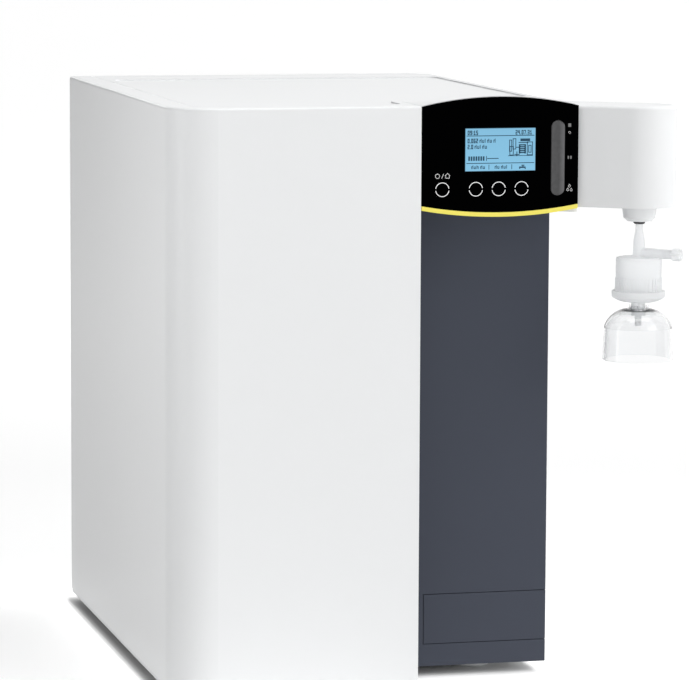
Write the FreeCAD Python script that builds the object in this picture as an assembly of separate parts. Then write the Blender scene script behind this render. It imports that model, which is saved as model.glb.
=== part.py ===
import FreeCAD, Part
import math
import os

from FreeCAD import Vector

# Ultrapure water system for a lab bench, in millimetres.
# Origin on the bench under the middle of the cabinet, +Z up, front towards -Y.

# Cabinet
cabinet_width = 350.0
cabinet_depth = 500.0
cabinet_height = 505.0
panel_wall = 2.5
top_wall = 3.0
floor_wall = 3.0
seam = 0.5
edge_round = 2.0
rear_corner_radius = 25.0
rear_return_width = 28.0
bay_depth = 83.0
top_recess_depth = 1.2
top_recess_margin = 9.0
top_recess_side_run = 41.5
rear_band_depth = 66.0
overrun = 5.0
same_point = 1e-6
same_level = 1e-5

# Service door, hinged at the rear left corner
door_wall = 3.0
door_corner_radius = 38.0
door_edge_round = 2.4
door_rim_width = 20.0
door_return_depth = 12.0
door_rib_thickness = 2.0
door_rib_depth = 4.0
door_rib_inset = 40.0
door_rib_count = 4
hinge_inset = 6.5
hinge_overhang = 4.0
hinge_pin_radius = 1.5
hinge_play = 0.05
hinge_ear_radius = 5.0
hinge_ear_height = 4.0
hinge_bracket_radius = 3.0
hinge_bracket_height = 4.0
hinge_sweep_play = 0.6
strike_width = 9.0
strike_height = 22.0
strike_depth = 9.2
strike_side_gap = 1.3
magnet_depth = 9.0
magnet_gap = 0.3
magnet_low_height = 60.0
magnet_high_drop = 122.0

# Feet
foot_height = 9.0
foot_top_radius = 18.0
foot_bottom_radius = 17.0
foot_edge = 1.0
foot_side_inset = 55.0
foot_front_inset = 55.0
foot_column_inset = 44.0
foot_back_inset = 30.0
foot_screw_radius = 2.0
foot_screw_head_radius = 4.0
foot_screw_head_height = 2.4

# Dark column and its low cover
column_wall = 3.0
service_cover_inset = 26.3
service_cover_height = 44.6
service_cover_rise = 19.4
service_cover_thickness = 1.8
groove = 0.6
cable_hole_width = 70.0
cable_hole_height = 40.0

# Display head
head_width = 137.2
head_wall = 2.5
head_side_height = 88.0
head_top_rise = 7.8
head_bottom_drop = 6.2
vault_depth = 66.0
vault_rear_rise = 0.6
vault_root = 9.0
glass_thickness = 2.0
glass_top_inset = 0.6
trim_height = 3.7
lcd_height = 36.7
lcd_left_gap = 37.3
lcd_right_gap = 37.4
lcd_drop = 19.0
lcd_frame_margin = 4.0
lcd_depth = 6.0
lcd_recess = 0.3
fit_gap = 0.3
key_radius = 6.3
key_home_left = 17.8
key_gap_shares = (0.3333, 0.1177, 0.1177)
key_drop = 70.5
key_stand = 0.4
key_travel = 0.8
key_flange_margin = 1.2
key_flange_thickness = 1.0
rocker_width = 12.1
rocker_height = 63.4
rocker_right_gap = 11.9
rocker_drop = 13.4
rocker_thickness = 2.6
rocker_end_gap = 0.6
rocker_recess = 0.2
rocker_dish_depth = 0.9
rocker_dish_radius = 16.0
rocker_boss_height = 5.0
rocker_boss_depth = 3.4
rocker_pin_radius = 1.0
rocker_pin_play = 0.05
rocker_pin_depth = 4.4
rocker_cheek_width = 2.0
rocker_cheek_height = 14.0
rocker_cheek_depth = 4.0
board_thickness = 1.6
board_right_gap = 30.2
board_height = 72.0
switch_side = 6.0

# Dispenser arm, swivelling on a hollow spindle
arm_radius = 31.0
arm_top_drop = 1.0
arm_height = 86.5
arm_reach = 103.5
arm_rest_angle = 32.0
arm_pivot_back = 60.0
arm_wall = 2.5
arm_edge_round = 3.0
arm_base_thickness = 3.0
pocket_gap = 1.0
socket_wall = 2.0
socket_floor_thickness = 3.0
spindle_outer_radius = 9.0
spindle_bore_radius = 5.0
spindle_flange_radius = 14.0
spindle_flange_thickness = 2.0
spindle_above_base = 8.0
spindle_play = 0.05
close_play = 0.05
base_play = 0.1
washer_radius = 16.0
ring_radius = 13.0
ring_thickness = 1.5
arm_hose_radius = 3.0
arm_hose_rise = 40.0
arm_hose_bend = 12.0

# Nozzle and filter capsule
nozzle_top_radius = 15.0
nozzle_bottom_radius = 13.8
nozzle_mouth_radius = 10.6
nozzle_chamfer_height = 3.0
nozzle_drop = 12.9
nozzle_collar_radius = 9.0
nozzle_collar_rise = 14.0
seal_radius = 5.1
seal_show = 2.4
seal_edge = 0.8
seal_inside = 4.0
stem_radius = 3.2
stem_inside = 3.0
stem_straight = 5.0
stem_flare_height = 9.5
stem_flare_radius = 4.8
stem_foot_height = 13.85
stem_foot_radius = 5.5
capsule_radius = 19.7
capsule_height = 29.0
capsule_edge_round = 2.5
capsule_rib_count = 36
capsule_rib_width = 1.3
capsule_rib_proud = 0.6
capsule_rib_top_gap = 17.8
capsule_groove_drop = 16.6
capsule_groove_width = 0.6
capsule_groove_depth = 0.4
port_root_radius = 4.9
port_end_radius = 3.9
port_rise = 3.2
port_reach = 30.5
port_turn = 40.0
port_bore_radius = 2.6
port_bore_depth = 9.0
vent_knob_radius = 5.45
vent_knob_length = 8.0
vent_knob_edge = 1.4
vent_nub_radius = 2.2
vent_nub_length = 1.0
vent_spigot_radius = 2.52
vent_spigot_length = 8.0
vent_flute_count = 8
vent_flute_radius = 0.7
flange_radius = 23.0
flange_height = 5.2
bowl_height = 4.5
bowl_radius = 10.0
bowl_middle_radius = 17.6
bowl_middle_drop = 3.1
neck_radius = 6.0
neck_height = 11.35
outlet_radius = 2.75
outlet_length = 10.0
outlet_ridge_radius = 3.4
outlet_ridge_height = 1.2
outlet_ridge_count = 3
bell_neck_radius = 8.0
bell_neck_gap = 0.05
bell_neck_height = 5.55
bell_neck_rise = 1.9
bell_shoulder_radius = 29.3
bell_shoulder_height = 16.5
bell_shoulder_in = 9.8
bell_dome_bulge = 3.8
bell_rim_radius = 30.35
bell_height = 44.0
bell_wall = 1.8
bell_lug_count = 3
bell_lug_size = 2.4
corner_share = 1 - math.sqrt(1 / 2)

# Inside: bulkheads and cartridges
wet_bulkhead_inset = 17.3
sheet_wall = 2.0
cross_bulkhead_top_gap = 60.0
cross_bulkhead_left_gap = 12.0
cartridge_over_gap = 78.0
cartridge_dome = 14.0
cartridge_cap_margin = 2.0
cartridge_cap_chamfer = 7.0
cartridge_cap_height = 26.0
cartridge_neck_radius = 13.0
cartridge_neck_height = 12.0
cartridge_left_gap = 1.0
cartridge_pair_gap = 4.0
cartridge_right_gap = 16.8
cartridge_front_gap = 17.0
cartridge_back_gap = 8.0
shelf_rise = 30.0
shelf_thickness = 3.0
shelf_lip = 10.0
cartridge_head_height = 30.0
cartridge_head_side = 60.0
head_port_radius = 6.0
head_port_length = 10.0
clip_height = 18.0
clip_thickness = 3.0
clip_drop = 140.0

# Inside: pump, lamp, filter, valves
pump_left_inset = 50.0
pump_back_gap = 190.0
pump_radius = 27.0
pump_motor_length = 90.0
pump_head_side = 62.0
pump_head_length = 42.0
pump_head_round = 8.0
pump_saddle_height = 12.0
pump_saddle_width = 50.0
pump_port_radius = 5.0
pump_port_length = 12.0
lamp_setback = 90.0
lamp_radius = 24.0
lamp_top_gap = 52.0
lamp_rise = 120.0
lamp_cap_radius = 28.0
lamp_cap_height = 18.0
module_gap = 4.0
ultrafilter_setback = 80.0
ultrafilter_radius = 26.0
ultrafilter_top_gap = 108.0
ultrafilter_cap_height = 22.0
ultrafilter_cap_margin = 4.0
clamp_height = 14.0
clamp_margin = 3.0
clamp_low_share = 0.25
clamp_high_share = 0.75
manifold_setback = 70.0
manifold_width = 90.0
manifold_height = 46.0
manifold_depth = 34.0
manifold_drop = 160.0
manifold_round = 4.0
valve_count = 3
valve_radius = 13.0
valve_length = 34.0
valve_stem_radius = 7.0
valve_stem_length = 6.0
cell_count = 2
cell_radius = 7.0
cell_length = 30.0
cell_pitch = 45.0

# Inside: power and control
supply_width = 100.0
supply_depth = 180.0
supply_height = 60.0
supply_back_gap = 40.0
supply_slot_count = 8
supply_slot_width = 3.0
supply_slot_length = 60.0
main_board_length = 200.0
main_board_height = 150.0
main_board_rise = 160.0
main_board_back_gap = 90.0
main_board_stand = 8.0
main_board_post_radius = 3.0
chip_side = 18.0
chip_height = 4.0
chip_side_offset = 40.0
chip_rise = 50.0

# Rear connections
rear_slot_count = 9
rear_slot_width = 70.0
rear_slot_height = 4.0
rear_slot_pitch = 10.0
rear_slot_drop = 172.0
rear_slot_right_gap = 115.0
screw_radius = 1.5
screw_head_radius = 3.0
screw_head_height = 1.8
screw_length = 6.0
screw_edge = 10.0
spigot_radius = 4.0
spigot_bore_radius = 2.5
spigot_length = 18.0
spigot_flange_radius = 11.0
spigot_flange_thickness = 4.0
spigot_nut_radius = 10.0
spigot_nut_thickness = 6.0
spigot_tail_length = 12.0
spigot_rise = 70.0
feed_left_gap = 65.0
spigot_pitch = 50.0
mains_right_gap = 80.0
mains_rise = 60.0
mains_width = 30.0
mains_height = 58.0
mains_flange_margin = 5.0
mains_flange_thickness = 3.0
mains_body_depth = 32.0
socket_width = 24.0
socket_height = 16.5
socket_depth = 18.0
socket_corner = 4.0
socket_lift = 8.0
mains_pin_width = 2.0
mains_pin_height = 4.0
mains_pin_length = 9.0
mains_pin_pitch = 7.0
switch_width = 19.0
switch_height = 20.0
switch_depth = 12.0
switch_lift = 34.0
switch_gap = 0.6
switch_angle = 8.0
switch_thickness = 5.0
switch_axis_depth = 4.0
hose_radius = 4.0
hose_bend = 22.0
short_bend = 20.0
feed_hose_lift = 66.0
feed_hose_run = 44.0
head_hose_lift = 44.0

# Places worked out from the sizes above
side_x = cabinet_width / 2
front_y = -cabinet_depth / 2
back_y = cabinet_depth / 2
deck_z = foot_height + floor_wall
roof_z = cabinet_height - top_wall
split_x = side_x - head_width - seam
bay_y = front_y + bay_depth
head_left = split_x + seam
head_right = side_x
head_mid = (head_left + head_right) / 2
head_low_z = cabinet_height - head_side_height
glass_back_y = front_y + glass_thickness
vault_back_y = front_y + vault_depth
hinge_x = -side_x + hinge_inset
hinge_y = back_y - hinge_overhang
hinge_sweep = math.hypot(hinge_inset, hinge_overhang) + hinge_sweep_play
rear_left_x = hinge_x + hinge_sweep
pivot_x = side_x - arm_radius
pivot_y = front_y + arm_pivot_back
arm_top_z = cabinet_height - arm_top_drop
arm_low_z = arm_top_z - arm_height
socket_top_z = arm_low_z - pocket_gap
socket_low_z = socket_top_z - socket_floor_thickness
nozzle_x = pivot_x + arm_reach * math.cos(math.radians(arm_rest_angle))
nozzle_y = pivot_y - arm_reach * math.sin(math.radians(arm_rest_angle))
nozzle_low_z = arm_low_z - nozzle_drop
seal_low_z = nozzle_low_z - seal_show
stem_top_z = seal_low_z + stem_inside
capsule_top_z = seal_low_z - stem_straight - stem_flare_height - stem_foot_height
capsule_low_z = capsule_top_z - capsule_height
flange_low_z = capsule_low_z - flange_height
bowl_low_z = flange_low_z - bowl_height
bell_top_z = bowl_low_z - bell_neck_height
bell_low_z = bell_top_z - bell_height
port_z = capsule_top_z + port_rise
lcd_left_x = head_left + lcd_left_gap
lcd_right_x = head_right - lcd_right_gap
rocker_mid_x = head_right - rocker_right_gap - rocker_width / 2
rocker_mid_z = cabinet_height - rocker_drop - rocker_height / 2
key_z = cabinet_height - key_drop
shelf_top_z = deck_z + shelf_rise
bay_left_x = -side_x + cross_bulkhead_left_gap
bay_right_x = split_x - panel_wall
cartridge_gaps = cartridge_left_gap + cartridge_pair_gap + cartridge_right_gap
cartridge_cap_radius = (bay_right_x - bay_left_x - cartridge_gaps) / 4
cartridge_radius = cartridge_cap_radius - cartridge_cap_margin
cartridge_left_x = bay_left_x + cartridge_left_gap + cartridge_cap_radius
cartridge_right_x = cartridge_left_x + 2 * cartridge_cap_radius + cartridge_pair_gap
cartridge_front_y = front_y + door_wall + door_rib_depth + cartridge_front_gap
cartridge_y = cartridge_front_y + cartridge_cap_radius
cross_bulkhead_y = cartridge_y + cartridge_cap_radius + cartridge_back_gap
head_port_z = roof_z - cartridge_over_gap
head_body_z = head_port_z - head_port_length - cartridge_head_height
cartridge_top_z = head_body_z - cartridge_neck_height
wet_bulkhead_x = split_x - wet_bulkhead_inset
manifold_y = cross_bulkhead_y + manifold_setback
manifold_low_z = roof_z - manifold_drop
lamp_x = wet_bulkhead_x - module_gap - lamp_radius
lamp_y = manifold_y + lamp_setback
lamp_low_z = deck_z + lamp_rise
lamp_length = roof_z - lamp_top_gap - lamp_cap_height - lamp_low_z
ultrafilter_y = lamp_y + ultrafilter_setback
ultrafilter_length = roof_z - ultrafilter_top_gap - ultrafilter_cap_height - lamp_low_z
pump_x = -side_x + pump_left_inset
pump_y = back_y - pump_back_gap
pump_axis_z = deck_z + pump_saddle_height + pump_radius
supply_y = back_y - supply_back_gap - supply_depth / 2
main_board_y = back_y - main_board_back_gap - main_board_length / 2
rear_slot_x = side_x - rear_slot_right_gap
rear_slot_z = roof_z - rear_slot_drop
feed_x = -side_x + feed_left_gap
drain_x = feed_x + spigot_pitch
mains_x = side_x - mains_right_gap
magnet_heights = (magnet_low_height, roof_z - magnet_high_drop)


def plan(u, v):
    """A point of a drawing that is seen from above."""
    return Vector(u, v, 0)


def face_on(u, v):
    """A point of a drawing that is seen from the front."""
    return Vector(u, 0, v)


def side_on(u, v):
    """A point of a drawing that is seen from the side."""
    return Vector(0, u, v)


def closed_wire(items, lift):
    """Closed wire; an item is a corner, or the middle and end of an arc."""
    edges = []
    here = items[0]
    for item in items[1:] + [items[0]]:
        if isinstance(item[0], tuple):
            middle, end = item
            edges.append(Part.Arc(lift(*here), lift(*middle), lift(*end)).toShape())
        else:
            end = item
            if lift(*here).distanceToPoint(lift(*end)) > same_point:
                edges.append(Part.LineSegment(lift(*here), lift(*end)).toShape())
        here = end
    return Part.Wire(edges)


def rounded(corners):
    """Wire items from corners (u, v, radius), with a tangent arc at each radius."""
    items = []
    for i, (u, v, radius) in enumerate(corners):
        if not radius:
            items.append((u, v))
            continue
        before = corners[i - 1]
        after = corners[(i + 1) % len(corners)]
        here = Vector(u, v, 0)
        to_before = (Vector(before[0], before[1], 0) - here).normalize()
        to_after = (Vector(after[0], after[1], 0) - here).normalize()
        half = to_before.getAngle(to_after) / 2
        inward = (to_before + to_after).normalize()
        start = here + to_before * (radius / math.tan(half))
        end = here + to_after * (radius / math.tan(half))
        middle = here + inward * (radius / math.sin(half) - radius)
        items.append((start.x, start.y))
        items.append(((middle.x, middle.y), (end.x, end.y)))
    return items


def plan_prism(items, low, high):
    """A drawing seen from above, raised from low to high."""
    block = Part.Face(closed_wire(items, plan)).extrude(Vector(0, 0, high - low))
    block.translate(Vector(0, 0, low))
    return block


def front_prism(items, front, back):
    """A drawing seen from the front, running from front to back."""
    block = Part.Face(closed_wire(items, face_on)).extrude(Vector(0, back - front, 0))
    block.translate(Vector(0, front, 0))
    return block


def box(x0, x1, y0, y1, z0, z1):
    """A block between two corners."""
    return Part.makeBox(x1 - x0, y1 - y0, z1 - z0, Vector(x0, y0, z0))


def rod(radius, length, base, axis):
    """A round bar from its base along its axis."""
    return Part.makeCylinder(radius, length, base, axis)


def turned(items, base, axis):
    """A turned piece: a drawing of radius and height, spun about its axis."""
    piece = Part.Face(closed_wire(items, face_on)).revolve(Vector(0, 0, 0), Vector(0, 0, 1), 360)
    piece.Placement = FreeCAD.Placement(base, FreeCAD.Rotation(Vector(0, 0, 1), axis))
    return piece


def bent_rod(points, bend, radius):
    """A hose: straight runs joined by tangent arcs."""
    edges = []
    here = points[0]
    for i in range(1, len(points) - 1):
        corner = points[i]
        back = (points[i - 1] - corner).normalize()
        onward = (points[i + 1] - corner).normalize()
        half = back.getAngle(onward) / 2
        reach = bend / math.tan(half)
        start = corner + back * reach
        end = corner + onward * reach
        inward = (back + onward).normalize()
        middle = corner + inward * (bend / math.sin(half) - bend)
        edges.append(Part.LineSegment(here, start).toShape())
        edges.append(Part.Arc(start, middle, end).toShape())
        here = end
    edges.append(Part.LineSegment(here, points[-1]).toShape())
    circle = Part.Circle(points[0], (points[1] - points[0]).normalize(), radius)
    return Part.Wire(edges).makePipeShell([Part.Wire(circle.toShape())], True, False)


def stadium(x, y, angle, length, radius):
    """Drawing of a bar with round ends, from a point along an angle."""
    along = Vector(math.cos(math.radians(angle)), math.sin(math.radians(angle)), 0)
    across = Vector(-along.y, along.x, 0)
    near = Vector(x, y, 0)
    far = near + along * length

    def flat(point):
        return (point.x, point.y)

    return [
        flat(near + across * radius),
        (flat(near - along * radius), flat(near - across * radius)),
        flat(far - across * radius),
        (flat(far + along * radius), flat(far + across * radius)),
    ]


def edges_at_height(shape, height):
    """The edges that lie level at a height."""
    return [
        edge
        for edge in shape.Edges
        if abs(edge.BoundBox.ZMin - height) < same_level
        and abs(edge.BoundBox.ZMax - height) < same_level
    ]


def fused(first, others):
    """Several solids joined into one, with the seams between them removed."""
    return first.multiFuse(others).removeSplitter()


def arm_sweep(extra, low, high):
    """Space that the arm needs between its rest and its straight position."""
    reach = arm_reach + arm_radius
    at_rest = stadium(pivot_x, pivot_y, -arm_rest_angle, reach, arm_radius + extra)
    straight = stadium(pivot_x, pivot_y, 0, reach, arm_radius + extra)
    return plan_prism(at_rest, low, high).fuse(plan_prism(straight, low, high))


def arm_zone():
    """What the cabinet's fixed panels leave free for the arm and its socket."""
    return arm_sweep(pocket_gap + socket_wall + seam, socket_low_z - seam, cabinet_height + overrun)


def make_base():
    """Floor tray, feet and their screws."""
    right = split_x
    outline = rounded([
        (-side_x + seam, back_y - seam, 0),
        (-side_x + seam, front_y + seam, door_corner_radius),
        (right, front_y + seam, 0),
        (right, bay_y + column_wall, 0),
        (side_x - seam, bay_y + column_wall, 0),
        (side_x - seam, back_y - seam, rear_corner_radius),
    ])
    tray = plan_prism(outline, foot_height, deck_z)
    feet = []
    screws = []
    foot_x = side_x - foot_side_inset
    spots = [
        (-foot_x, front_y + foot_front_inset),
        (foot_x, bay_y + column_wall + foot_column_inset),
        (-foot_x, back_y - foot_back_inset),
        (foot_x, back_y - foot_back_inset),
    ]
    up = Vector(0, 0, 1)
    for x, y in spots:
        foot = turned([
            (0, 0),
            (foot_bottom_radius - foot_edge, 0),
            (foot_bottom_radius, foot_edge),
            (foot_top_radius, foot_height),
            (0, foot_height),
        ], Vector(x, y, 0), up)
        middle = Vector(x, y, foot_height / 2)
        hole = rod(foot_screw_radius, deck_z, middle, up)
        shank = rod(foot_screw_radius, deck_z - foot_height / 2, middle, up)
        head = rod(foot_screw_head_radius, foot_screw_head_height, Vector(x, y, deck_z), up)
        feet.append(foot.cut(hole))
        tray = tray.cut(hole)
        screws.append(shank.fuse(head))
    pin_hole = rod(hinge_pin_radius, floor_wall, Vector(hinge_x, hinge_y, foot_height), Vector(0, 0, 1))
    return {
        "base_tray": tray.cut(pin_hole),
        "feet": Part.makeCompound(feet),
        "foot_screws": Part.makeCompound(screws),
    }


def make_door():
    """Wrap-around service door with ribs, hinge ears and strike posts."""
    low = deck_z + seam
    outer = plan_prism(rounded([
        (-side_x, back_y, 0),
        (-side_x, front_y, door_corner_radius),
        (split_x, front_y, 0),
        (split_x, back_y, 0),
    ]), low, cabinet_height)
    outer_edges = [
        edge
        for edge in edges_at_height(outer, cabinet_height)
        if edge.BoundBox.XMax < split_x - seam or edge.BoundBox.YMax < front_y + door_wall
    ]
    outer = outer.makeFillet(door_edge_round, outer_edges)
    inner = plan_prism(rounded([
        (-side_x + door_wall, back_y + overrun, 0),
        (-side_x + door_wall, front_y + door_wall, door_corner_radius - door_wall),
        (split_x - door_wall, front_y + door_wall, 0),
        (split_x - door_wall, back_y + overrun, 0),
    ]), low - overrun, roof_z)
    rim = plan_prism(rounded([
        (-side_x + door_rim_width, back_y + overrun, 0),
        (-side_x + door_rim_width, front_y + door_rim_width, door_corner_radius - door_rim_width),
        (split_x + overrun, front_y + door_rim_width, 0),
        (split_x + overrun, back_y + overrun, 0),
    ]), low - overrun, cabinet_height + overrun)
    right_side = box(
        split_x - door_wall - same_point, split_x + overrun, front_y + door_return_depth, back_y + overrun,
        low - overrun, roof_z,
    )
    door = outer.cut(inner).cut(rim).cut(right_side)
    ribs = []
    rib_start = low + door_rib_inset
    rib_step = (roof_z - door_rib_inset - rib_start) / (door_rib_count - 1)
    for i in range(door_rib_count):
        z = rib_start + i * rib_step
        level = plan_prism(rounded([
            (-side_x + door_wall, hinge_y - door_rib_inset, 0),
            (-side_x + door_wall, front_y + door_wall, door_corner_radius - door_wall),
            (split_x - door_rib_inset, front_y + door_wall, 0),
            (split_x - door_rib_inset, front_y + door_wall + door_rib_depth, 0),
            (
                -side_x + door_wall + door_rib_depth,
                front_y + door_wall + door_rib_depth,
                door_corner_radius - door_wall - door_rib_depth,
            ),
            (-side_x + door_wall + door_rib_depth, hinge_y - door_rib_inset, 0),
        ]), z, z + door_rib_thickness)
        ribs.append(level)
    for base in (low, roof_z - hinge_ear_height):
        disc = rod(hinge_ear_radius, hinge_ear_height, Vector(hinge_x, hinge_y, base), Vector(0, 0, 1))
        web = box(
            -side_x + door_wall, hinge_x, hinge_y - 2 * hinge_ear_radius, hinge_y,
            base, base + hinge_ear_height,
        )
        ear = disc.fuse(web).common(box(
            -side_x + door_wall, side_x, front_y, back_y, base, base + hinge_ear_height,
        ))
        bore = rod(
            hinge_pin_radius + hinge_play, hinge_ear_height, Vector(hinge_x, hinge_y, base), Vector(0, 0, 1),
        )
        ribs.append(ear.cut(bore))
    strikes = []
    strike_x = split_x - door_wall - strike_side_gap
    strike_y = front_y + door_wall
    for height in magnet_heights:
        strikes.append(box(
            strike_x - strike_width, strike_x, strike_y, strike_y + strike_depth,
            height, height + strike_height,
        ))
    return {"service_door": fused(door, ribs), "door_strikes": Part.makeCompound(strikes)}


def make_hinge():
    """Upper hinge bracket, both pins and the magnets that hold the door shut."""
    bracket_low = roof_z - hinge_ear_height - seam - hinge_bracket_height
    disc = rod(
        hinge_bracket_radius, hinge_bracket_height, Vector(hinge_x, hinge_y, bracket_low), Vector(0, 0, 1),
    )
    bar = box(
        hinge_x, rear_left_x, hinge_y - hinge_bracket_radius, back_y - panel_wall,
        bracket_low, bracket_low + hinge_bracket_height,
    )
    round_hole = rod(
        hinge_pin_radius, hinge_bracket_height, Vector(hinge_x, hinge_y, bracket_low), Vector(0, 0, 1),
    )
    bracket = fused(disc, [bar]).cut(round_hole)
    lower_pin = rod(
        hinge_pin_radius, floor_wall + seam + hinge_ear_height, Vector(hinge_x, hinge_y, foot_height),
        Vector(0, 0, 1),
    )
    upper_pin = rod(
        hinge_pin_radius, roof_z - seam - bracket_low, Vector(hinge_x, hinge_y, bracket_low), Vector(0, 0, 1),
    )
    magnets = []
    magnet_right = split_x - panel_wall
    magnet_y = front_y + door_wall + strike_depth + magnet_gap
    strike_right = split_x - door_wall - strike_side_gap
    for height in magnet_heights:
        magnets.append(box(
            strike_right - strike_width, magnet_right, magnet_y, magnet_y + magnet_depth,
            height, height + strike_height,
        ))
    return {
        "hinge_bracket": bracket,
        "door_hinge_pins": Part.makeCompound([lower_pin, upper_pin]),
        "door_magnets": Part.makeCompound(magnets),
    }


def make_cabinet():
    """Fixed panels of the cabinet."""
    top_front_y = front_y + door_rim_width + seam
    top_left_x = -side_x + door_rim_width + 2 * seam
    head_line_y = vault_back_y + seam
    top = plan_prism(rounded([
        (top_left_x, back_y, 0),
        (top_left_x, top_front_y, door_corner_radius - door_rim_width),
        (split_x, top_front_y, 0),
        (split_x, head_line_y, 0),
        (side_x, head_line_y, 0),
        (side_x, back_y, rear_corner_radius),
    ]), roof_z, cabinet_height)
    outer_edges = [
        edge
        for edge in edges_at_height(top, cabinet_height)
        if edge.BoundBox.XMax > side_x - same_point or edge.BoundBox.YMax > back_y - same_point
    ]
    top = top.makeFillet(edge_round, outer_edges)
    margin = top_recess_margin
    recess = plan_prism(rounded([
        (top_left_x + margin, back_y - rear_band_depth, margin),
        (top_left_x + margin, top_front_y + margin, door_corner_radius - door_rim_width - seam),
        (split_x - margin, top_front_y + margin, margin),
        (split_x - margin, head_line_y + margin, margin),
        (pivot_x - arm_radius - margin, head_line_y + margin, margin),
        (side_x - margin, bay_y + top_recess_side_run, margin),
        (side_x - margin, back_y - rear_band_depth, margin),
    ]), cabinet_height - top_recess_depth, cabinet_height + overrun)
    top = top.cut(recess).cut(arm_zone())

    right_outer = plan_prism(rounded([
        (side_x - rear_return_width, bay_y + column_wall, 0),
        (side_x, bay_y + column_wall, 0),
        (side_x, back_y, rear_corner_radius),
        (side_x - rear_return_width, back_y, 0),
    ]), deck_z, roof_z)
    right_inner = plan_prism(rounded([
        (side_x - rear_return_width - overrun, bay_y, 0),
        (side_x - panel_wall, bay_y, 0),
        (side_x - panel_wall, back_y - panel_wall, rear_corner_radius - panel_wall),
        (side_x - rear_return_width - overrun, back_y - panel_wall, 0),
    ]), deck_z - overrun, roof_z + overrun)
    right_panel = right_outer.cut(right_inner).cut(arm_zone())

    rear_right_x = side_x - rear_return_width - seam
    rear_top = roof_z - seam
    rear = box(rear_left_x, rear_right_x, back_y - panel_wall, back_y, deck_z, rear_top)
    flange = box(
        rear_left_x, rear_left_x + panel_wall, hinge_y - 2 * hinge_ear_radius, back_y - panel_wall,
        deck_z, rear_top,
    )
    rear = fused(rear, [flange])
    slots = []
    for i in range(rear_slot_count):
        z = rear_slot_z + i * rear_slot_pitch
        half = rear_slot_height / 2
        left = rear_slot_x - rear_slot_width / 2
        right = rear_slot_x + rear_slot_width / 2
        slots.append(front_prism([
            (left, z + half),
            ((left - half, z), (left, z - half)),
            (right, z - half),
            ((right + half, z), (right, z + half)),
        ], back_y - panel_wall - overrun, back_y + overrun))
    rear = rear.cut(Part.makeCompound(slots))
    for x in (feed_x, drain_x):
        rear = rear.cut(rod(
            spigot_radius + seam, panel_wall + 2 * overrun,
            Vector(x, back_y - panel_wall - overrun, spigot_rise), Vector(0, 1, 0),
        ))
    rear = rear.cut(box(
        mains_x - mains_width / 2, mains_x + mains_width / 2, back_y - panel_wall - overrun, back_y + overrun,
        mains_rise, mains_rise + mains_height,
    ))
    screws = []
    for x in (rear_left_x + screw_edge, rear_right_x - screw_edge):
        for z in (deck_z + screw_edge, (deck_z + roof_z) / 2, roof_z - screw_edge):
            spot = Vector(x, back_y, z)
            head = rod(screw_head_radius, screw_head_height, spot, Vector(0, 1, 0))
            shank_base = Vector(x, back_y - screw_length, z)
            shank = rod(screw_radius, screw_length, shank_base, Vector(0, 1, 0))
            rear = rear.cut(shank)
            screws.append(fused(head, [shank]))
    return {
        "top_panel": top,
        "right_panel": right_panel,
        "rear_panel": rear,
        "rear_screws": Part.makeCompound(screws),
    }


def make_column():
    """Dark column face with its side wall, and the flat cover set into it."""
    face = box(split_x - panel_wall, side_x, bay_y, bay_y + column_wall, foot_height, roof_z)
    side = box(
        split_x - panel_wall, split_x, front_y + door_return_depth + seam, bay_y + column_wall,
        deck_z, head_low_z - head_bottom_drop - seam,
    )
    column = fused(face, [side])
    cover_x = split_x + service_cover_inset
    cover_z = foot_height + service_cover_rise
    recess = box(
        cover_x, side_x + overrun, bay_y - overrun, bay_y + service_cover_thickness,
        cover_z, cover_z + service_cover_height,
    )
    cover = box(
        cover_x + groove, side_x, bay_y, bay_y + service_cover_thickness,
        cover_z + groove, cover_z + service_cover_height - groove,
    )
    hole_z = head_low_z + head_wall + seam
    cable_hole = box(
        head_left + head_wall, head_left + head_wall + cable_hole_width, bay_y - overrun,
        bay_y + column_wall + overrun, hole_z, hole_z + cable_hole_height,
    )
    notch = box(
        split_x - panel_wall - overrun, split_x, bay_y - overrun, bay_y + column_wall + overrun,
        foot_height - overrun, deck_z,
    )
    column = column.cut(recess).cut(cable_hole).cut(notch).cut(arm_zone())
    return {"column_panel": column, "lower_cover": cover}


def head_prism(inset, front, back, top_z):
    """The head's straight part: flat sides and an arched underside."""
    low = head_low_z + inset
    return front_prism([
        (head_left + inset, top_z),
        (head_left + inset, low),
        ((head_mid, low - head_bottom_drop), (head_right - inset, low)),
        (head_right - inset, top_z),
    ], front, back)


def head_vault(inset, front, back):
    """The head's roof: a wide arch at the front that sinks to flat at the back."""
    wires = []
    for y, rise in ((front, head_top_rise), (back, vault_rear_rise)):
        def lift(u, v, y=y):
            return Vector(u, y, v)
        top = cabinet_height - inset
        foot = cabinet_height - vault_root - inset
        wires.append(closed_wire([
            (head_left + inset, foot),
            (head_right - inset, foot),
            (head_right - inset, top),
            ((head_mid, top + rise), (head_left + inset, top)),
        ], lift))
    return Part.makeLoft(wires, True, True)


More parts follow.
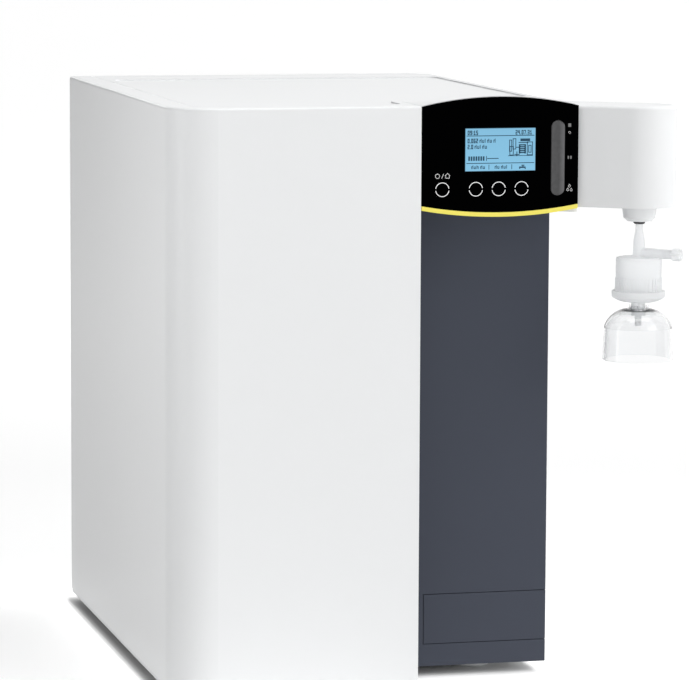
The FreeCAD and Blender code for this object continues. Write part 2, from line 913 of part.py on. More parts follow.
def make_head():
    """Head housing, black glass panel, yellow trim and the arm's socket."""
    outer = fused(head_prism(0, glass_back_y, bay_y, roof_z - seam), [
        head_vault(0, glass_back_y, vault_back_y),
    ])
    inner = head_prism(head_wall, glass_back_y - overrun, bay_y + overrun, roof_z - seam - head_wall).fuse(
        head_vault(head_wall, glass_back_y - overrun, vault_back_y - head_wall)
    )
    housing = outer.cut(inner)
    zone = arm_sweep(
        pocket_gap + socket_wall + fit_gap, head_low_z - head_bottom_drop - overrun,
        cabinet_height + head_top_rise + overrun,
    )
    housing = housing.cut(zone)

    glass_top = cabinet_height - glass_top_inset
    glass = front_prism([
        (head_left, glass_top),
        (head_left, head_low_z + trim_height),
        ((head_mid, head_low_z + trim_height - head_bottom_drop), (head_right, head_low_z + trim_height)),
        (head_right, glass_top),
        ((head_mid, glass_top + head_top_rise), (head_left, glass_top)),
    ], front_y, glass_back_y)
    lcd_z = cabinet_height - lcd_drop
    glass = glass.cut(box(
        lcd_left_x, lcd_right_x, front_y - overrun, glass_back_y + overrun, lcd_z - lcd_height, lcd_z,
    ))
    for x in key_places():
        glass = glass.cut(rod(
            key_radius + fit_gap, glass_thickness + 2 * overrun, Vector(x, front_y - overrun, key_z),
            Vector(0, 1, 0),
        ))
    half_width = rocker_width / 2 + fit_gap
    half_height = rocker_height / 2 + rocker_end_gap
    glass = glass.cut(front_prism(
        rocker_outline(half_width, half_height), front_y - overrun, glass_back_y + overrun,
    ))
    trim = front_prism([
        (head_left, head_low_z + trim_height),
        (head_left, head_low_z),
        ((head_mid, head_low_z - head_bottom_drop), (head_right, head_low_z)),
        (head_right, head_low_z + trim_height),
        ((head_mid, head_low_z + trim_height - head_bottom_drop), (head_left, head_low_z + trim_height)),
    ], front_y, glass_back_y)

    socket_outer = arm_sweep(pocket_gap + socket_wall, socket_low_z, cabinet_height - seam)
    pocket = arm_sweep(pocket_gap, socket_top_z, cabinet_height + overrun)
    limits = box(-side_x, side_x, glass_back_y + fit_gap, back_y, socket_low_z, cabinet_height)
    socket = socket_outer.cut(pocket).common(limits)
    bore = rod(
        spindle_outer_radius + close_play, socket_floor_thickness, Vector(pivot_x, pivot_y, socket_low_z),
        Vector(0, 0, 1),
    )
    return {
        "head_housing": housing,
        "display_glass": glass,
        "yellow_trim": trim,
        "arm_socket": socket.cut(bore),
    }


def key_places():
    """The keys' centres: the room from the first key to the rocker is shared out."""
    outer = key_radius + key_flange_margin
    x = head_left + key_home_left
    rocker_left_x = rocker_mid_x - rocker_width / 2
    room = rocker_left_x - x - outer - len(key_gap_shares) * 2 * outer
    places = [x]
    for share in key_gap_shares:
        x += 2 * outer + room * share
        places.append(x)
    return places


def rocker_outline(half_width, half_height):
    """Upright bar with round ends."""
    x = rocker_mid_x
    z = rocker_mid_z
    straight = half_height - half_width
    return [
        (x - half_width, z + straight),
        (x - half_width, z - straight),
        ((x, z - half_height), (x + half_width, z - straight)),
        (x + half_width, z + straight),
        ((x, z + half_height), (x - half_width, z + straight)),
    ]


def make_controls():
    """LCD, control board, four keys, and the rocker on its pin."""
    lcd_z = cabinet_height - lcd_drop
    screen = box(
        lcd_left_x + fit_gap, lcd_right_x - fit_gap, front_y + lcd_recess, glass_back_y + lcd_depth,
        lcd_z - lcd_height + fit_gap, lcd_z - fit_gap,
    )
    frame = box(
        lcd_left_x - lcd_frame_margin, lcd_right_x + lcd_frame_margin, glass_back_y, glass_back_y + lcd_depth,
        lcd_z - lcd_height - lcd_frame_margin, lcd_z + lcd_frame_margin,
    )
    nodes = {"lcd_module": fused(frame, [screen])}
    flange_y = glass_back_y + fit_gap
    flange_back = flange_y + key_flange_thickness
    names = ["key_home", "key_left", "key_middle", "key_right"]
    inward = Vector(0, 1, 0)
    for name, x in zip(names, key_places()):
        cap = rod(
            key_radius, flange_y + key_stand - front_y, Vector(x, front_y - key_stand, key_z), inward,
        )
        flange = rod(
            key_radius + key_flange_margin, key_flange_thickness, Vector(x, flange_y, key_z), inward,
        )
        nodes[name] = fused(cap, [flange])
    board_y = glass_back_y + lcd_depth
    board_left = head_left + head_wall + seam
    board_top = cabinet_height - head_wall - lcd_frame_margin
    board = box(
        board_left, head_right - board_right_gap, board_y, board_y + board_thickness,
        board_top - board_height, board_top,
    )
    switches = []
    switch_front = flange_back + key_travel + seam / 2
    for x in key_places():
        switches.append(box(
            x - switch_side / 2, x + switch_side / 2, switch_front, board_y,
            key_z - switch_side / 2, key_z + switch_side / 2,
        ))
    nodes["control_board"] = fused(board, switches)

    rocker_front = front_y + rocker_recess
    rocker_back = rocker_front + rocker_thickness
    pad = front_prism(rocker_outline(rocker_width / 2, rocker_height / 2), rocker_front, rocker_back)
    dish_y = rocker_front + rocker_dish_depth - rocker_dish_radius
    dish = rod(
        rocker_dish_radius, rocker_height + 2 * overrun,
        Vector(rocker_mid_x, dish_y, rocker_mid_z - rocker_height / 2 - overrun), Vector(0, 0, 1),
    )
    pin_y = front_y + rocker_pin_depth
    boss = box(
        rocker_mid_x - rocker_width / 2 + fit_gap, rocker_mid_x + rocker_width / 2 - fit_gap,
        rocker_back - same_point, rocker_back + rocker_boss_depth - seam,
        rocker_mid_z - rocker_boss_height / 2, rocker_mid_z + rocker_boss_height / 2,
    )
    pin_bore = rod(
        rocker_pin_radius + rocker_pin_play, rocker_width + 2 * overrun,
        Vector(rocker_mid_x - rocker_width / 2 - overrun, pin_y, rocker_mid_z), Vector(1, 0, 0),
    )
    nodes["dispense_rocker"] = fused(pad.cut(dish), [boss]).cut(pin_bore)
    cheeks = []
    inner_half = rocker_width / 2 + fit_gap
    for side in (-1, 1):
        near = rocker_mid_x + side * inner_half
        far = near + side * rocker_cheek_width
        cheeks.append(box(
            min(near, far), max(near, far), glass_back_y, glass_back_y + rocker_cheek_depth,
            rocker_mid_z - rocker_cheek_height / 2, rocker_mid_z + rocker_cheek_height / 2,
        ))
    pin_length = 2 * (inner_half + rocker_cheek_width)
    pin = rod(
        rocker_pin_radius, pin_length, Vector(rocker_mid_x - pin_length / 2, pin_y, rocker_mid_z),
        Vector(1, 0, 0),
    )
    nodes["rocker_bracket"] = fused(pin, cheeks)
    return nodes


def make_arm():
    """Dispenser arm: shell, base plate, spindle, washer, ring and inner hose."""
    outer = plan_prism(
        stadium(pivot_x, pivot_y, -arm_rest_angle, arm_reach, arm_radius), arm_low_z, arm_top_z,
    )
    outer = outer.makeFillet(arm_edge_round, edges_at_height(outer, arm_top_z))
    inner_radius = arm_radius - arm_wall
    inner = plan_prism(
        stadium(pivot_x, pivot_y, -arm_rest_angle, arm_reach, inner_radius),
        arm_low_z - overrun, arm_top_z - arm_wall,
    )
    plate = plan_prism(
        stadium(pivot_x, pivot_y, -arm_rest_angle, arm_reach, inner_radius - base_play),
        arm_low_z, arm_low_z + arm_base_thickness,
    )
    pivot = Vector(pivot_x, pivot_y, arm_low_z)
    tip = Vector(nozzle_x, nozzle_y, arm_low_z)
    up = Vector(0, 0, 1)
    plate = plate.cut(rod(spindle_outer_radius + spindle_play, arm_base_thickness, pivot, up))
    plate = plate.cut(rod(nozzle_collar_radius + close_play, arm_base_thickness, tip, up))

    spindle_top = arm_low_z + arm_base_thickness + spindle_above_base
    flange_low = socket_low_z - spindle_flange_thickness
    spindle = turned([
        (spindle_bore_radius, flange_low),
        (spindle_flange_radius, flange_low),
        (spindle_flange_radius, socket_low_z),
        (spindle_outer_radius, socket_low_z),
        (spindle_outer_radius, spindle_top),
        (spindle_bore_radius, spindle_top),
    ], Vector(pivot_x, pivot_y, 0), up)
    collar_bore = spindle_outer_radius + close_play
    washer = turned([
        (collar_bore, socket_top_z),
        (washer_radius, socket_top_z),
        (washer_radius, arm_low_z),
        (collar_bore, arm_low_z),
    ], Vector(pivot_x, pivot_y, 0), up)
    ring_z = arm_low_z + arm_base_thickness + spindle_play
    ring = turned([
        (collar_bore, ring_z),
        (ring_radius, ring_z),
        (ring_radius, ring_z + ring_thickness),
        (collar_bore, ring_z + ring_thickness),
    ], Vector(pivot_x, pivot_y, 0), up)

    collar_top = arm_low_z + arm_base_thickness + nozzle_collar_rise
    nozzle_bore = seal_radius + close_play
    nozzle = turned([
        (nozzle_bore, nozzle_low_z),
        (nozzle_mouth_radius, nozzle_low_z),
        (nozzle_bottom_radius, nozzle_low_z + nozzle_chamfer_height),
        (nozzle_top_radius, arm_low_z),
        (nozzle_collar_radius, arm_low_z),
        (nozzle_collar_radius, collar_top),
        (arm_hose_radius, collar_top),
        (arm_hose_radius, nozzle_low_z + seal_inside),
        (nozzle_bore, nozzle_low_z + seal_inside),
    ], Vector(nozzle_x, nozzle_y, 0), up)
    seal = turned([
        (stem_radius + close_play, seal_low_z),
        (seal_radius - seal_edge, seal_low_z),
        (seal_radius, seal_low_z + seal_edge),
        (seal_radius, nozzle_low_z + seal_inside),
        (stem_radius + close_play, nozzle_low_z + seal_inside),
    ], Vector(nozzle_x, nozzle_y, 0), up)
    hose_z = arm_low_z + arm_hose_rise
    hose = bent_rod([
        Vector(pivot_x, pivot_y, spindle_top + seam),
        Vector(pivot_x, pivot_y, hose_z),
        Vector(nozzle_x, nozzle_y, hose_z),
        Vector(nozzle_x, nozzle_y, collar_top),
    ], arm_hose_bend, arm_hose_radius)
    return {
        "arm_shell": outer.cut(inner),
        "arm_base": plate,
        "swivel_spindle": spindle,
        "swivel_washer": washer,
        "swivel_ring": ring,
        "nozzle": nozzle,
        "nozzle_seal": seal,
        "arm_hose": hose,
    }


def bulged(start, end):
    """Middle point of the bell's dome between two points of its drawing."""
    across = Vector(start[1] - end[1], end[0] - start[0], 0).normalize() * bell_dome_bulge
    return ((start[0] + end[0]) / 2 + across.x, (start[1] + end[1]) / 2 + across.y)


def make_filter():
    """Filter capsule with its vent knob, and the clear bell guard."""
    centre = Vector(nozzle_x, nozzle_y, 0)
    up = Vector(0, 0, 1)
    flare_low = seal_low_z - stem_straight - stem_flare_height
    rounding = capsule_edge_round
    bend = rounding * corner_share
    groove_z = capsule_top_z - capsule_groove_drop - capsule_groove_width
    upper = turned([
        (0, stem_top_z),
        (stem_radius, stem_top_z),
        (stem_radius, seal_low_z - stem_straight),
        (stem_flare_radius, flare_low),
        (stem_foot_radius, capsule_top_z),
        (capsule_radius - rounding, capsule_top_z),
        ((capsule_radius - bend, capsule_top_z - bend), (capsule_radius, capsule_top_z - rounding)),
        (capsule_radius, groove_z + capsule_groove_width),
        (capsule_radius - capsule_groove_depth, groove_z + capsule_groove_width),
        (capsule_radius - capsule_groove_depth, groove_z),
        (capsule_radius, groove_z),
        (capsule_radius, capsule_low_z),
        (0, capsule_low_z),
    ], centre, up)
    ribs = []
    rib_top = capsule_top_z - capsule_rib_top_gap
    for i in range(capsule_rib_count):
        rib = box(
            capsule_radius - rounding, capsule_radius + capsule_rib_proud,
            -capsule_rib_width / 2, capsule_rib_width / 2, capsule_low_z, rib_top,
        )
        rib.rotate(Vector(0, 0, 0), up, 360 * i / capsule_rib_count)
        rib.translate(centre)
        ribs.append(rib)
    out = Vector(math.cos(math.radians(port_turn)), -math.sin(math.radians(port_turn)), 0)
    port_base = Vector(nozzle_x, nozzle_y, port_z)
    port = Part.makeCone(port_root_radius, port_end_radius, port_reach, port_base, out)
    bore = rod(port_bore_radius, port_bore_depth, port_base + out * (port_reach - port_bore_depth), out)
    upper = fused(upper, ribs + [port]).cut(bore)

    knob_base = port_base + out * (port_reach + fit_gap)
    edge = vent_knob_edge
    inner = vent_knob_radius - edge
    bend = edge * corner_share
    knob = turned([
        (0, 0),
        (inner, 0),
        ((vent_knob_radius - bend, bend), (vent_knob_radius, edge)),
        (vent_knob_radius, vent_knob_length - edge),
        ((vent_knob_radius - bend, vent_knob_length - bend), (inner, vent_knob_length)),
        (vent_nub_radius, vent_knob_length),
        (vent_nub_radius, vent_knob_length + vent_nub_length),
        (0, vent_knob_length + vent_nub_length),
    ], knob_base, out)
    flutes = []
    for i in range(vent_flute_count):
        flute = rod(vent_flute_radius, vent_knob_length, Vector(vent_knob_radius, 0, 0), up)
        flute.rotate(Vector(0, 0, 0), up, 360 * i / vent_flute_count)
        flute.Placement = FreeCAD.Placement(knob_base, FreeCAD.Rotation(up, out)).multiply(flute.Placement)
        flutes.append(flute)
    spigot = rod(vent_spigot_radius, vent_spigot_length, knob_base - out * vent_spigot_length, out)
    vent = fused(knob.cut(Part.makeCompound(flutes)), [spigot])

    outlet_low = bowl_low_z - neck_height - outlet_length
    lower_items = [
        (0, capsule_low_z),
        (flange_radius, capsule_low_z),
        (flange_radius, flange_low_z),
        ((bowl_middle_radius, flange_low_z - bowl_middle_drop), (bowl_radius, bowl_low_z)),
        (neck_radius, bowl_low_z),
        (neck_radius, bowl_low_z - neck_height),
        (outlet_radius, bowl_low_z - neck_height),
    ]
    step = outlet_length / (outlet_ridge_count + 1)
    for i in range(outlet_ridge_count):
        z = bowl_low_z - neck_height - step * (i + 1)
        lower_items += [
            (outlet_radius, z + outlet_ridge_height / 2),
            (outlet_ridge_radius, z),
            (outlet_radius, z - outlet_ridge_height / 2),
        ]
    lower_items += [(outlet_radius, outlet_low), (0, outlet_low)]
    lower = turned(lower_items, centre, up)

    inner_neck = neck_radius + bell_neck_gap
    neck_top = bell_top_z + bell_neck_rise
    shoulder_z = bell_top_z - bell_shoulder_height
    wall = bell_wall
    outer_middle = bulged((bell_shoulder_in, bell_top_z), (bell_shoulder_radius, shoulder_z))
    inner_middle = bulged((bell_shoulder_in, bell_top_z - wall), (bell_shoulder_radius - wall, shoulder_z))
    bell = turned([
        (inner_neck, neck_top),
        (bell_neck_radius, neck_top),
        (bell_neck_radius, bell_top_z),
        (bell_shoulder_in, bell_top_z),
        (outer_middle, (bell_shoulder_radius, shoulder_z)),
        (bell_rim_radius, bell_low_z),
        (bell_rim_radius - wall, bell_low_z),
        (bell_shoulder_radius - wall, shoulder_z),
        (inner_middle, (bell_shoulder_in, bell_top_z - wall)),
        (inner_neck, bell_top_z - wall),
    ], centre, up)
    lugs = []
    for i in range(bell_lug_count):
        lug = box(
            bell_neck_radius - bell_lug_size / 4, bell_neck_radius + bell_lug_size / 2,
            -bell_lug_size / 2, bell_lug_size / 2, bell_top_z - wall / 2, neck_top + bell_lug_size / 4,
        )
        lug.rotate(Vector(0, 0, 0), up, 360 * i / bell_lug_count)
        lug.translate(centre)
        lugs.append(lug)
    return {
        "filter_top": upper,
        "vent_knob": vent,
        "filter_bottom": lower,
        "bell_guard": fused(bell, lugs),
    }


def make_bulkheads():
    """Upright sheets that carry the water path, and the cartridge shelf."""
    low = deck_z
    wet = box(
        wet_bulkhead_x, wet_bulkhead_x + sheet_wall, cross_bulkhead_y + sheet_wall, back_y - panel_wall,
        low, roof_z,
    )
    left = bay_left_x
    right = bay_right_x
    cross = box(
        left, right, cross_bulkhead_y, cross_bulkhead_y + sheet_wall,
        low, roof_z - cross_bulkhead_top_gap,
    )
    front = cartridge_y - cartridge_radius
    plate = box(left, right, front, cross_bulkhead_y, shelf_top_z - shelf_thickness, shelf_top_z)
    lip = box(left, right, front, front + sheet_wall, shelf_top_z, shelf_top_z + shelf_lip)
    legs = [
        box(x, x + sheet_wall, front, cross_bulkhead_y, low, shelf_top_z - shelf_thickness)
        for x in (left, right - sheet_wall)
    ]
    return {
        "wet_bulkhead": wet,
        "cross_bulkhead": cross,
        "cartridge_shelf": fused(plate, [lip] + legs),
    }


def make_cartridges():
    """Two cartridges on the shelf, their heads and the clips round their middles."""
    nodes = {}
    heads = []
    clips = []
    top = cartridge_top_z
    for name, x in (("pretreatment_cartridge", cartridge_left_x), ("polishing_cartridge", cartridge_right_x)):
        centre = Vector(x, cartridge_y, 0)
        nodes[name] = turned([
            (0, shelf_top_z),
            (cartridge_radius - cartridge_dome, shelf_top_z),
            (cartridge_radius, shelf_top_z + cartridge_dome),
            (cartridge_radius, top - cartridge_cap_height),
            (cartridge_cap_radius, top - cartridge_cap_height),
            (cartridge_cap_radius, top - cartridge_cap_chamfer),
            (cartridge_cap_radius - cartridge_cap_chamfer, top),
            (cartridge_neck_radius, top),
            (cartridge_neck_radius, top + cartridge_neck_height),
            (0, top + cartridge_neck_height),
        ], centre, Vector(0, 0, 1))
        half = cartridge_head_side / 2
        body = plan_prism(rounded([
            (x - half, cartridge_y - half, cartridge_neck_radius),
            (x + half, cartridge_y - half, cartridge_neck_radius),
            (x + half, cross_bulkhead_y, 0),
            (x - half, cross_bulkhead_y, 0),
        ]), head_body_z, head_body_z + cartridge_head_height)
        port_low = head_body_z + cartridge_head_height
        ports = [
            rod(
                head_port_radius, head_port_length, Vector(x + side * half / 2, cartridge_y, port_low),
                Vector(0, 0, 1),
            )
            for side in (-1, 1)
        ]
        heads.append(fused(body, ports))
        clip_low = cartridge_top_z - clip_drop
        outer = cartridge_radius + fit_gap + clip_thickness
        band = rod(outer, clip_height, centre + Vector(0, 0, clip_low), Vector(0, 0, 1))
        foot = box(
            x - outer / 2, x + outer / 2, cartridge_y, cross_bulkhead_y, clip_low, clip_low + clip_height,
        )
        hole = rod(cartridge_radius + fit_gap, clip_height, centre + Vector(0, 0, clip_low), Vector(0, 0, 1))
        opening = box(
            x - outer, x + outer, cartridge_y - 2 * outer, cartridge_y - cartridge_radius / 2,
            clip_low, clip_low + clip_height,
        )
        clips.append(fused(band, [foot]).cut(hole).cut(opening))
    nodes["cartridge_heads"] = Part.makeCompound(heads)
    nodes["cartridge_clips"] = Part.makeCompound(clips)
    return nodes


def upright_clamps(y, radius, low, length):
    """Two blocks that hold an upright tube off the wet bulkhead."""
    x = wet_bulkhead_x - module_gap - radius
    clamps = []
    reach = radius + clamp_margin
    for share in (clamp_low_share, clamp_high_share):
        z = low + length * share
        block = box(x, wet_bulkhead_x, y - reach, y + reach, z, z + clamp_height)
        clamps.append(block.cut(rod(radius + fit_gap, clamp_height, Vector(x, y, z), Vector(0, 0, 1))))
    return clamps


def make_water_path():
    """Pump, lamp housing, ultrafilter, manifold with valves, and cells."""
    up = Vector(0, 0, 1)
    axis_z = pump_axis_z
    motor = rod(pump_radius, pump_motor_length, Vector(pump_x, pump_y, axis_z), Vector(0, 1, 0))
    saddle = box(
        pump_x - pump_saddle_width / 2, pump_x + pump_saddle_width / 2, pump_y, pump_y + pump_motor_length,
        deck_z, axis_z,
    )
    half = pump_head_side / 2
    head = front_prism(rounded([
        (pump_x - half, axis_z - half, pump_head_round),
        (pump_x + half, axis_z - half, pump_head_round),
        (pump_x + half, axis_z + half, pump_head_round),
        (pump_x - half, axis_z + half, pump_head_round),
    ]), pump_y - pump_head_length, pump_y)
    port_y = pump_y - pump_head_length / 2
    ports = [
        rod(pump_port_radius, pump_port_length, Vector(pump_x + side * half / 2, port_y, axis_z + half), up)
        for side in (-1, 1)
    ]

    lamp_low = lamp_low_z
    lamp = rod(lamp_radius, lamp_length, Vector(lamp_x, lamp_y, lamp_low), up)
    cap_low = Vector(lamp_x, lamp_y, lamp_low - lamp_cap_height)
    cap_high = Vector(lamp_x, lamp_y, lamp_low + lamp_length)
    lamp_caps = [
        rod(lamp_cap_radius - clamp_margin, lamp_cap_height, base, up) for base in (cap_low, cap_high)
    ]
    filter_x = wet_bulkhead_x - module_gap - ultrafilter_radius
    filter_low = lamp_low_z
    cap = ultrafilter_cap_height
    wide = ultrafilter_radius + ultrafilter_cap_margin - clamp_margin / 2
    filter_body = turned([
        (0, filter_low),
        (ultrafilter_radius, filter_low),
        (ultrafilter_radius, filter_low + ultrafilter_length),
        (0, filter_low + ultrafilter_length),
    ], Vector(filter_x, ultrafilter_y, 0), up)
    filter_caps = [
        rod(wide, cap, Vector(filter_x, ultrafilter_y, z), up)
        for z in (filter_low - cap, filter_low + ultrafilter_length)
    ]
    clamps = upright_clamps(lamp_y, lamp_radius, lamp_low, lamp_length)
    clamps += upright_clamps(ultrafilter_y, ultrafilter_radius, filter_low, ultrafilter_length)

    manifold_low = manifold_low_z
    manifold = box(
        wet_bulkhead_x - manifold_depth, wet_bulkhead_x, manifold_y - manifold_width / 2,
        manifold_y + manifold_width / 2, manifold_low, manifold_low + manifold_height,
    )
    manifold = manifold.makeFillet(manifold_round, [
        edge
        for edge in manifold.Edges
        if edge.BoundBox.XMax < wet_bulkhead_x - manifold_depth + same_point
    ])
    valves = []
    pitch = manifold_width / valve_count
    face_x = wet_bulkhead_x - manifold_depth
    for i in range(valve_count):
        y = manifold_y - manifold_width / 2 + pitch * (i + 0.5)
        base = Vector(face_x, y, manifold_low + manifold_height / 2)
        stem = rod(valve_stem_radius, valve_stem_length, base, Vector(-1, 0, 0))
        coil = rod(valve_radius, valve_length, base - Vector(valve_stem_length, 0, 0), Vector(-1, 0, 0))
        valves.append(fused(stem, [coil]))
    cells = []
    for i in range(cell_count):
        y = manifold_y + cell_pitch * (i - (cell_count - 1) / 2)
        x = wet_bulkhead_x - manifold_depth / 2
        base = Vector(x, y, manifold_low + manifold_height)
        cells.append(rod(cell_radius, cell_length, base, up))
    return {
        "pump_motor": fused(motor, [saddle]),
        "pump_head": fused(head, ports),
        "lamp_housing": fused(lamp, lamp_caps),
        "ultrafilter": fused(filter_body, filter_caps),
        "module_clamps": Part.makeCompound(clamps),
        "valve_manifold": manifold,
        "solenoid_valves": Part.makeCompound(valves),
        "conductivity_cells": Part.makeCompound(cells),
    }


def make_power():
    """Power supply, main board, mains inlet and its switch."""
    right = side_x - panel_wall - seam
    low = deck_z
    supply = box(
        right - supply_width, right, supply_y - supply_depth / 2, supply_y + supply_depth / 2,
        low, low + supply_height,
    )
    slots = []
    pitch = supply_depth / (supply_slot_count + 1)
    slot_left = right - supply_width / 2 - supply_slot_length / 2
    for i in range(supply_slot_count):
        y = supply_y - supply_depth / 2 + pitch * (i + 1)
        slots.append(box(
            slot_left, slot_left + supply_slot_length, y, y + supply_slot_width,
            low + supply_height - panel_wall, low + supply_height + overrun,
        ))
    supply = supply.cut(Part.makeCompound(slots))
    board_x = wet_bulkhead_x + sheet_wall + main_board_stand
    board_low = low + main_board_rise
    board = box(
        board_x, board_x + board_thickness, main_board_y - main_board_length / 2,
        main_board_y + main_board_length / 2, board_low, board_low + main_board_height,
    )
    posts = []
    chips = []
    chip_x = board_x + board_thickness
    chip_half = chip_side / 2
    for y_side in (-1, 1):
        for z_side in (0, 1):
            y = main_board_y + y_side * (main_board_length / 2 - screw_edge)
            z = board_low + screw_edge + z_side * (main_board_height - 2 * screw_edge)
            base = Vector(wet_bulkhead_x + sheet_wall, y, z)
            posts.append(rod(main_board_post_radius, main_board_stand, base, Vector(1, 0, 0)))
            chip_y = main_board_y + y_side * chip_side_offset
            chip_z = board_low + chip_rise * (z_side + 1)
            chips.append(box(
                chip_x, chip_x + chip_height, chip_y - chip_half, chip_y + chip_half,
                chip_z - chip_half, chip_z + chip_half,
            ))
    main_board = fused(board, chips + posts)

    half = mains_width / 2
    margin = mains_flange_margin
    inside = box(
        mains_x - half + fit_gap, mains_x + half - fit_gap, back_y - mains_body_depth, back_y,
        mains_rise + fit_gap, mains_rise + mains_height - fit_gap,
    )
    plate = front_prism(rounded([
        (mains_x - half - margin, mains_rise - margin, margin),
        (mains_x + half + margin, mains_rise - margin, margin),
        (mains_x + half + margin, mains_rise + mains_height + margin, margin),
        (mains_x - half - margin, mains_rise + mains_height + margin, margin),
    ]), back_y, back_y + mains_flange_thickness)
    outer_y = back_y + mains_flange_thickness
    socket_low = mains_rise + socket_lift
    socket = front_prism(rounded([
        (mains_x - socket_width / 2, socket_low, 0),
        (mains_x + socket_width / 2, socket_low, 0),
        (mains_x + socket_width / 2, socket_low + socket_height - socket_corner, 0),
        (mains_x + socket_width / 2 - socket_corner, socket_low + socket_height, 0),
        (mains_x - socket_width / 2 + socket_corner, socket_low + socket_height, 0),
        (mains_x - socket_width / 2, socket_low + socket_height - socket_corner, 0),
    ]), outer_y - socket_depth, outer_y + overrun)
    window = box(
        mains_x - switch_width / 2, mains_x + switch_width / 2, outer_y - switch_depth, outer_y + overrun,
        mains_rise + switch_lift, mains_rise + switch_lift + switch_height,
    )
    pins = []
    for i in range(3):
        x = mains_x + (i - 1) * mains_pin_pitch
        z = socket_low + socket_height / 2 + (mains_pin_height / 2 if i == 1 else -mains_pin_height / 2)
        pins.append(box(
            x - mains_pin_width / 2, x + mains_pin_width / 2, outer_y - socket_depth,
            outer_y - socket_depth + mains_pin_length, z - mains_pin_height / 2, z + mains_pin_height / 2,
        ))
    inlet = fused(inside, [plate]).cut(socket).cut(window)
    axis_y = outer_y - switch_axis_depth
    axis_z = mains_rise + switch_lift + switch_height / 2
    reach = switch_height / 2 - switch_gap
    tilt = math.tan(math.radians(switch_angle / 2))
    rocker = Part.Face(closed_wire([
        (axis_y - switch_thickness / 2, axis_z - reach),
        (axis_y + switch_thickness / 2 + reach * tilt, axis_z - reach),
        (axis_y + switch_thickness / 2, axis_z),
        (axis_y + switch_thickness / 2 + reach * tilt, axis_z + reach),
        (axis_y - switch_thickness / 2, axis_z + reach),
    ], side_on)).extrude(Vector(switch_width - 2 * fit_gap, 0, 0))
    rocker.translate(Vector(mains_x - switch_width / 2 + fit_gap, 0, 0))
    rocker.rotate(Vector(mains_x, axis_y, axis_z), Vector(1, 0, 0), -switch_angle / 2)
    return {
        "power_supply": supply,
        "main_board": main_board,
        "mains_inlet": inlet,
        "mains_pins": Part.makeCompound(pins),
        "mains_switch": rocker,
    }


def make_hoses():
    """Rear spigots and the hoses of the water path."""
    spigots = []
    for x in (feed_x, drain_x):
        outer = turned([
            (spigot_bore_radius, -panel_wall - spigot_tail_length),
            (spigot_radius, -panel_wall - spigot_tail_length),
            (spigot_radius, 0),
            (spigot_flange_radius, 0),
            (spigot_flange_radius, spigot_flange_thickness),
            (spigot_radius, spigot_flange_thickness),
            (spigot_radius, spigot_flange_thickness + spigot_length),
            (spigot_bore_radius, spigot_flange_thickness + spigot_length),
        ], Vector(x, back_y, spigot_rise), Vector(0, 1, 0))
        corners = []
        for i in range(6):
            angle = math.radians(60 * i)
            corners.append((
                x + spigot_nut_radius * math.cos(angle), spigot_rise + spigot_nut_radius * math.sin(angle),
            ))
        nut = front_prism(corners, back_y - panel_wall - spigot_nut_thickness, back_y - panel_wall)
        nut = nut.cut(rod(
            spigot_radius + close_play, spigot_nut_thickness + 2 * overrun,
            Vector(x, back_y - panel_wall - spigot_nut_thickness - overrun, spigot_rise), Vector(0, 1, 0),
        ))
        spigots += [outer, nut]
    tail_y = back_y - panel_wall - spigot_tail_length
    port_top = pump_axis_z + pump_head_side / 2 + pump_port_length
    port_y = pump_y - pump_head_length / 2
    left_port = pump_x - pump_head_side / 4
    right_port = pump_x + pump_head_side / 4
    over_z = port_top + feed_hose_lift
    feed = bent_rod([
        Vector(feed_x, tail_y, spigot_rise),
        Vector(feed_x, tail_y - feed_hose_run, spigot_rise),
        Vector(feed_x, tail_y - feed_hose_run, over_z),
        Vector(left_port, port_y, over_z),
        Vector(left_port, port_y, port_top),
    ], hose_bend, hose_radius)
    high_z = head_port_z + head_hose_lift
    left_in = cartridge_left_x - cartridge_head_side / 4
    left_out = cartridge_left_x + cartridge_head_side / 4
    right_in = cartridge_right_x - cartridge_head_side / 4
    right_out = cartridge_right_x + cartridge_head_side / 4
    pump_line = bent_rod([
        Vector(right_port, port_y, port_top),
        Vector(right_port, port_y, high_z),
        Vector(left_in, cartridge_y, high_z),
        Vector(left_in, cartridge_y, head_port_z),
    ], hose_bend, hose_radius)
    bridge = bent_rod([
        Vector(left_out, cartridge_y, head_port_z),
        Vector(left_out, cartridge_y, high_z),
        Vector(right_in, cartridge_y, high_z),
        Vector(right_in, cartridge_y, head_port_z),
    ], short_bend, hose_radius)
    lamp_top = lamp_low_z + lamp_length + lamp_cap_height
    lamp_line = bent_rod([
        Vector(right_out, cartridge_y, head_port_z),
        Vector(right_out, cartridge_y, high_z + hose_radius),
        Vector(lamp_x, lamp_y, high_z + hose_radius),
        Vector(lamp_x, lamp_y, lamp_top),
    ], short_bend, hose_radius)
    return {
        "hose_spigots": Part.makeCompound(spigots),
        "inner_hoses": Part.makeCompound([feed, pump_line, bridge, lamp_line]),
    }


def build():
    """Builds every piece and writes one file for each."""
    os.makedirs("parts", exist_ok=True)
    nodes = {}
    for make in (
        make_base, make_door, make_hinge, make_cabinet, make_column, make_head, make_controls, make_arm,
        make_filter, make_bulkheads, make_cartridges, make_water_path, make_power, make_hoses,
    ):
        nodes.update(make())
    for name, shape in nodes.items():
        shape.exportStep("parts/" + name + ".step")
        print(name, "solids", len(shape.Solids), "valid", shape.isValid(), "volume", round(shape.Volume))
    print(len(nodes), "nodes")


build()
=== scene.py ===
"""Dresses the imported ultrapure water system: finishes, display, screen, capsule, bell, insides and stage."""

import math

import bpy
from bpy.props import FloatProperty, FloatVectorProperty, PointerProperty
from mathutils import Matrix, Vector


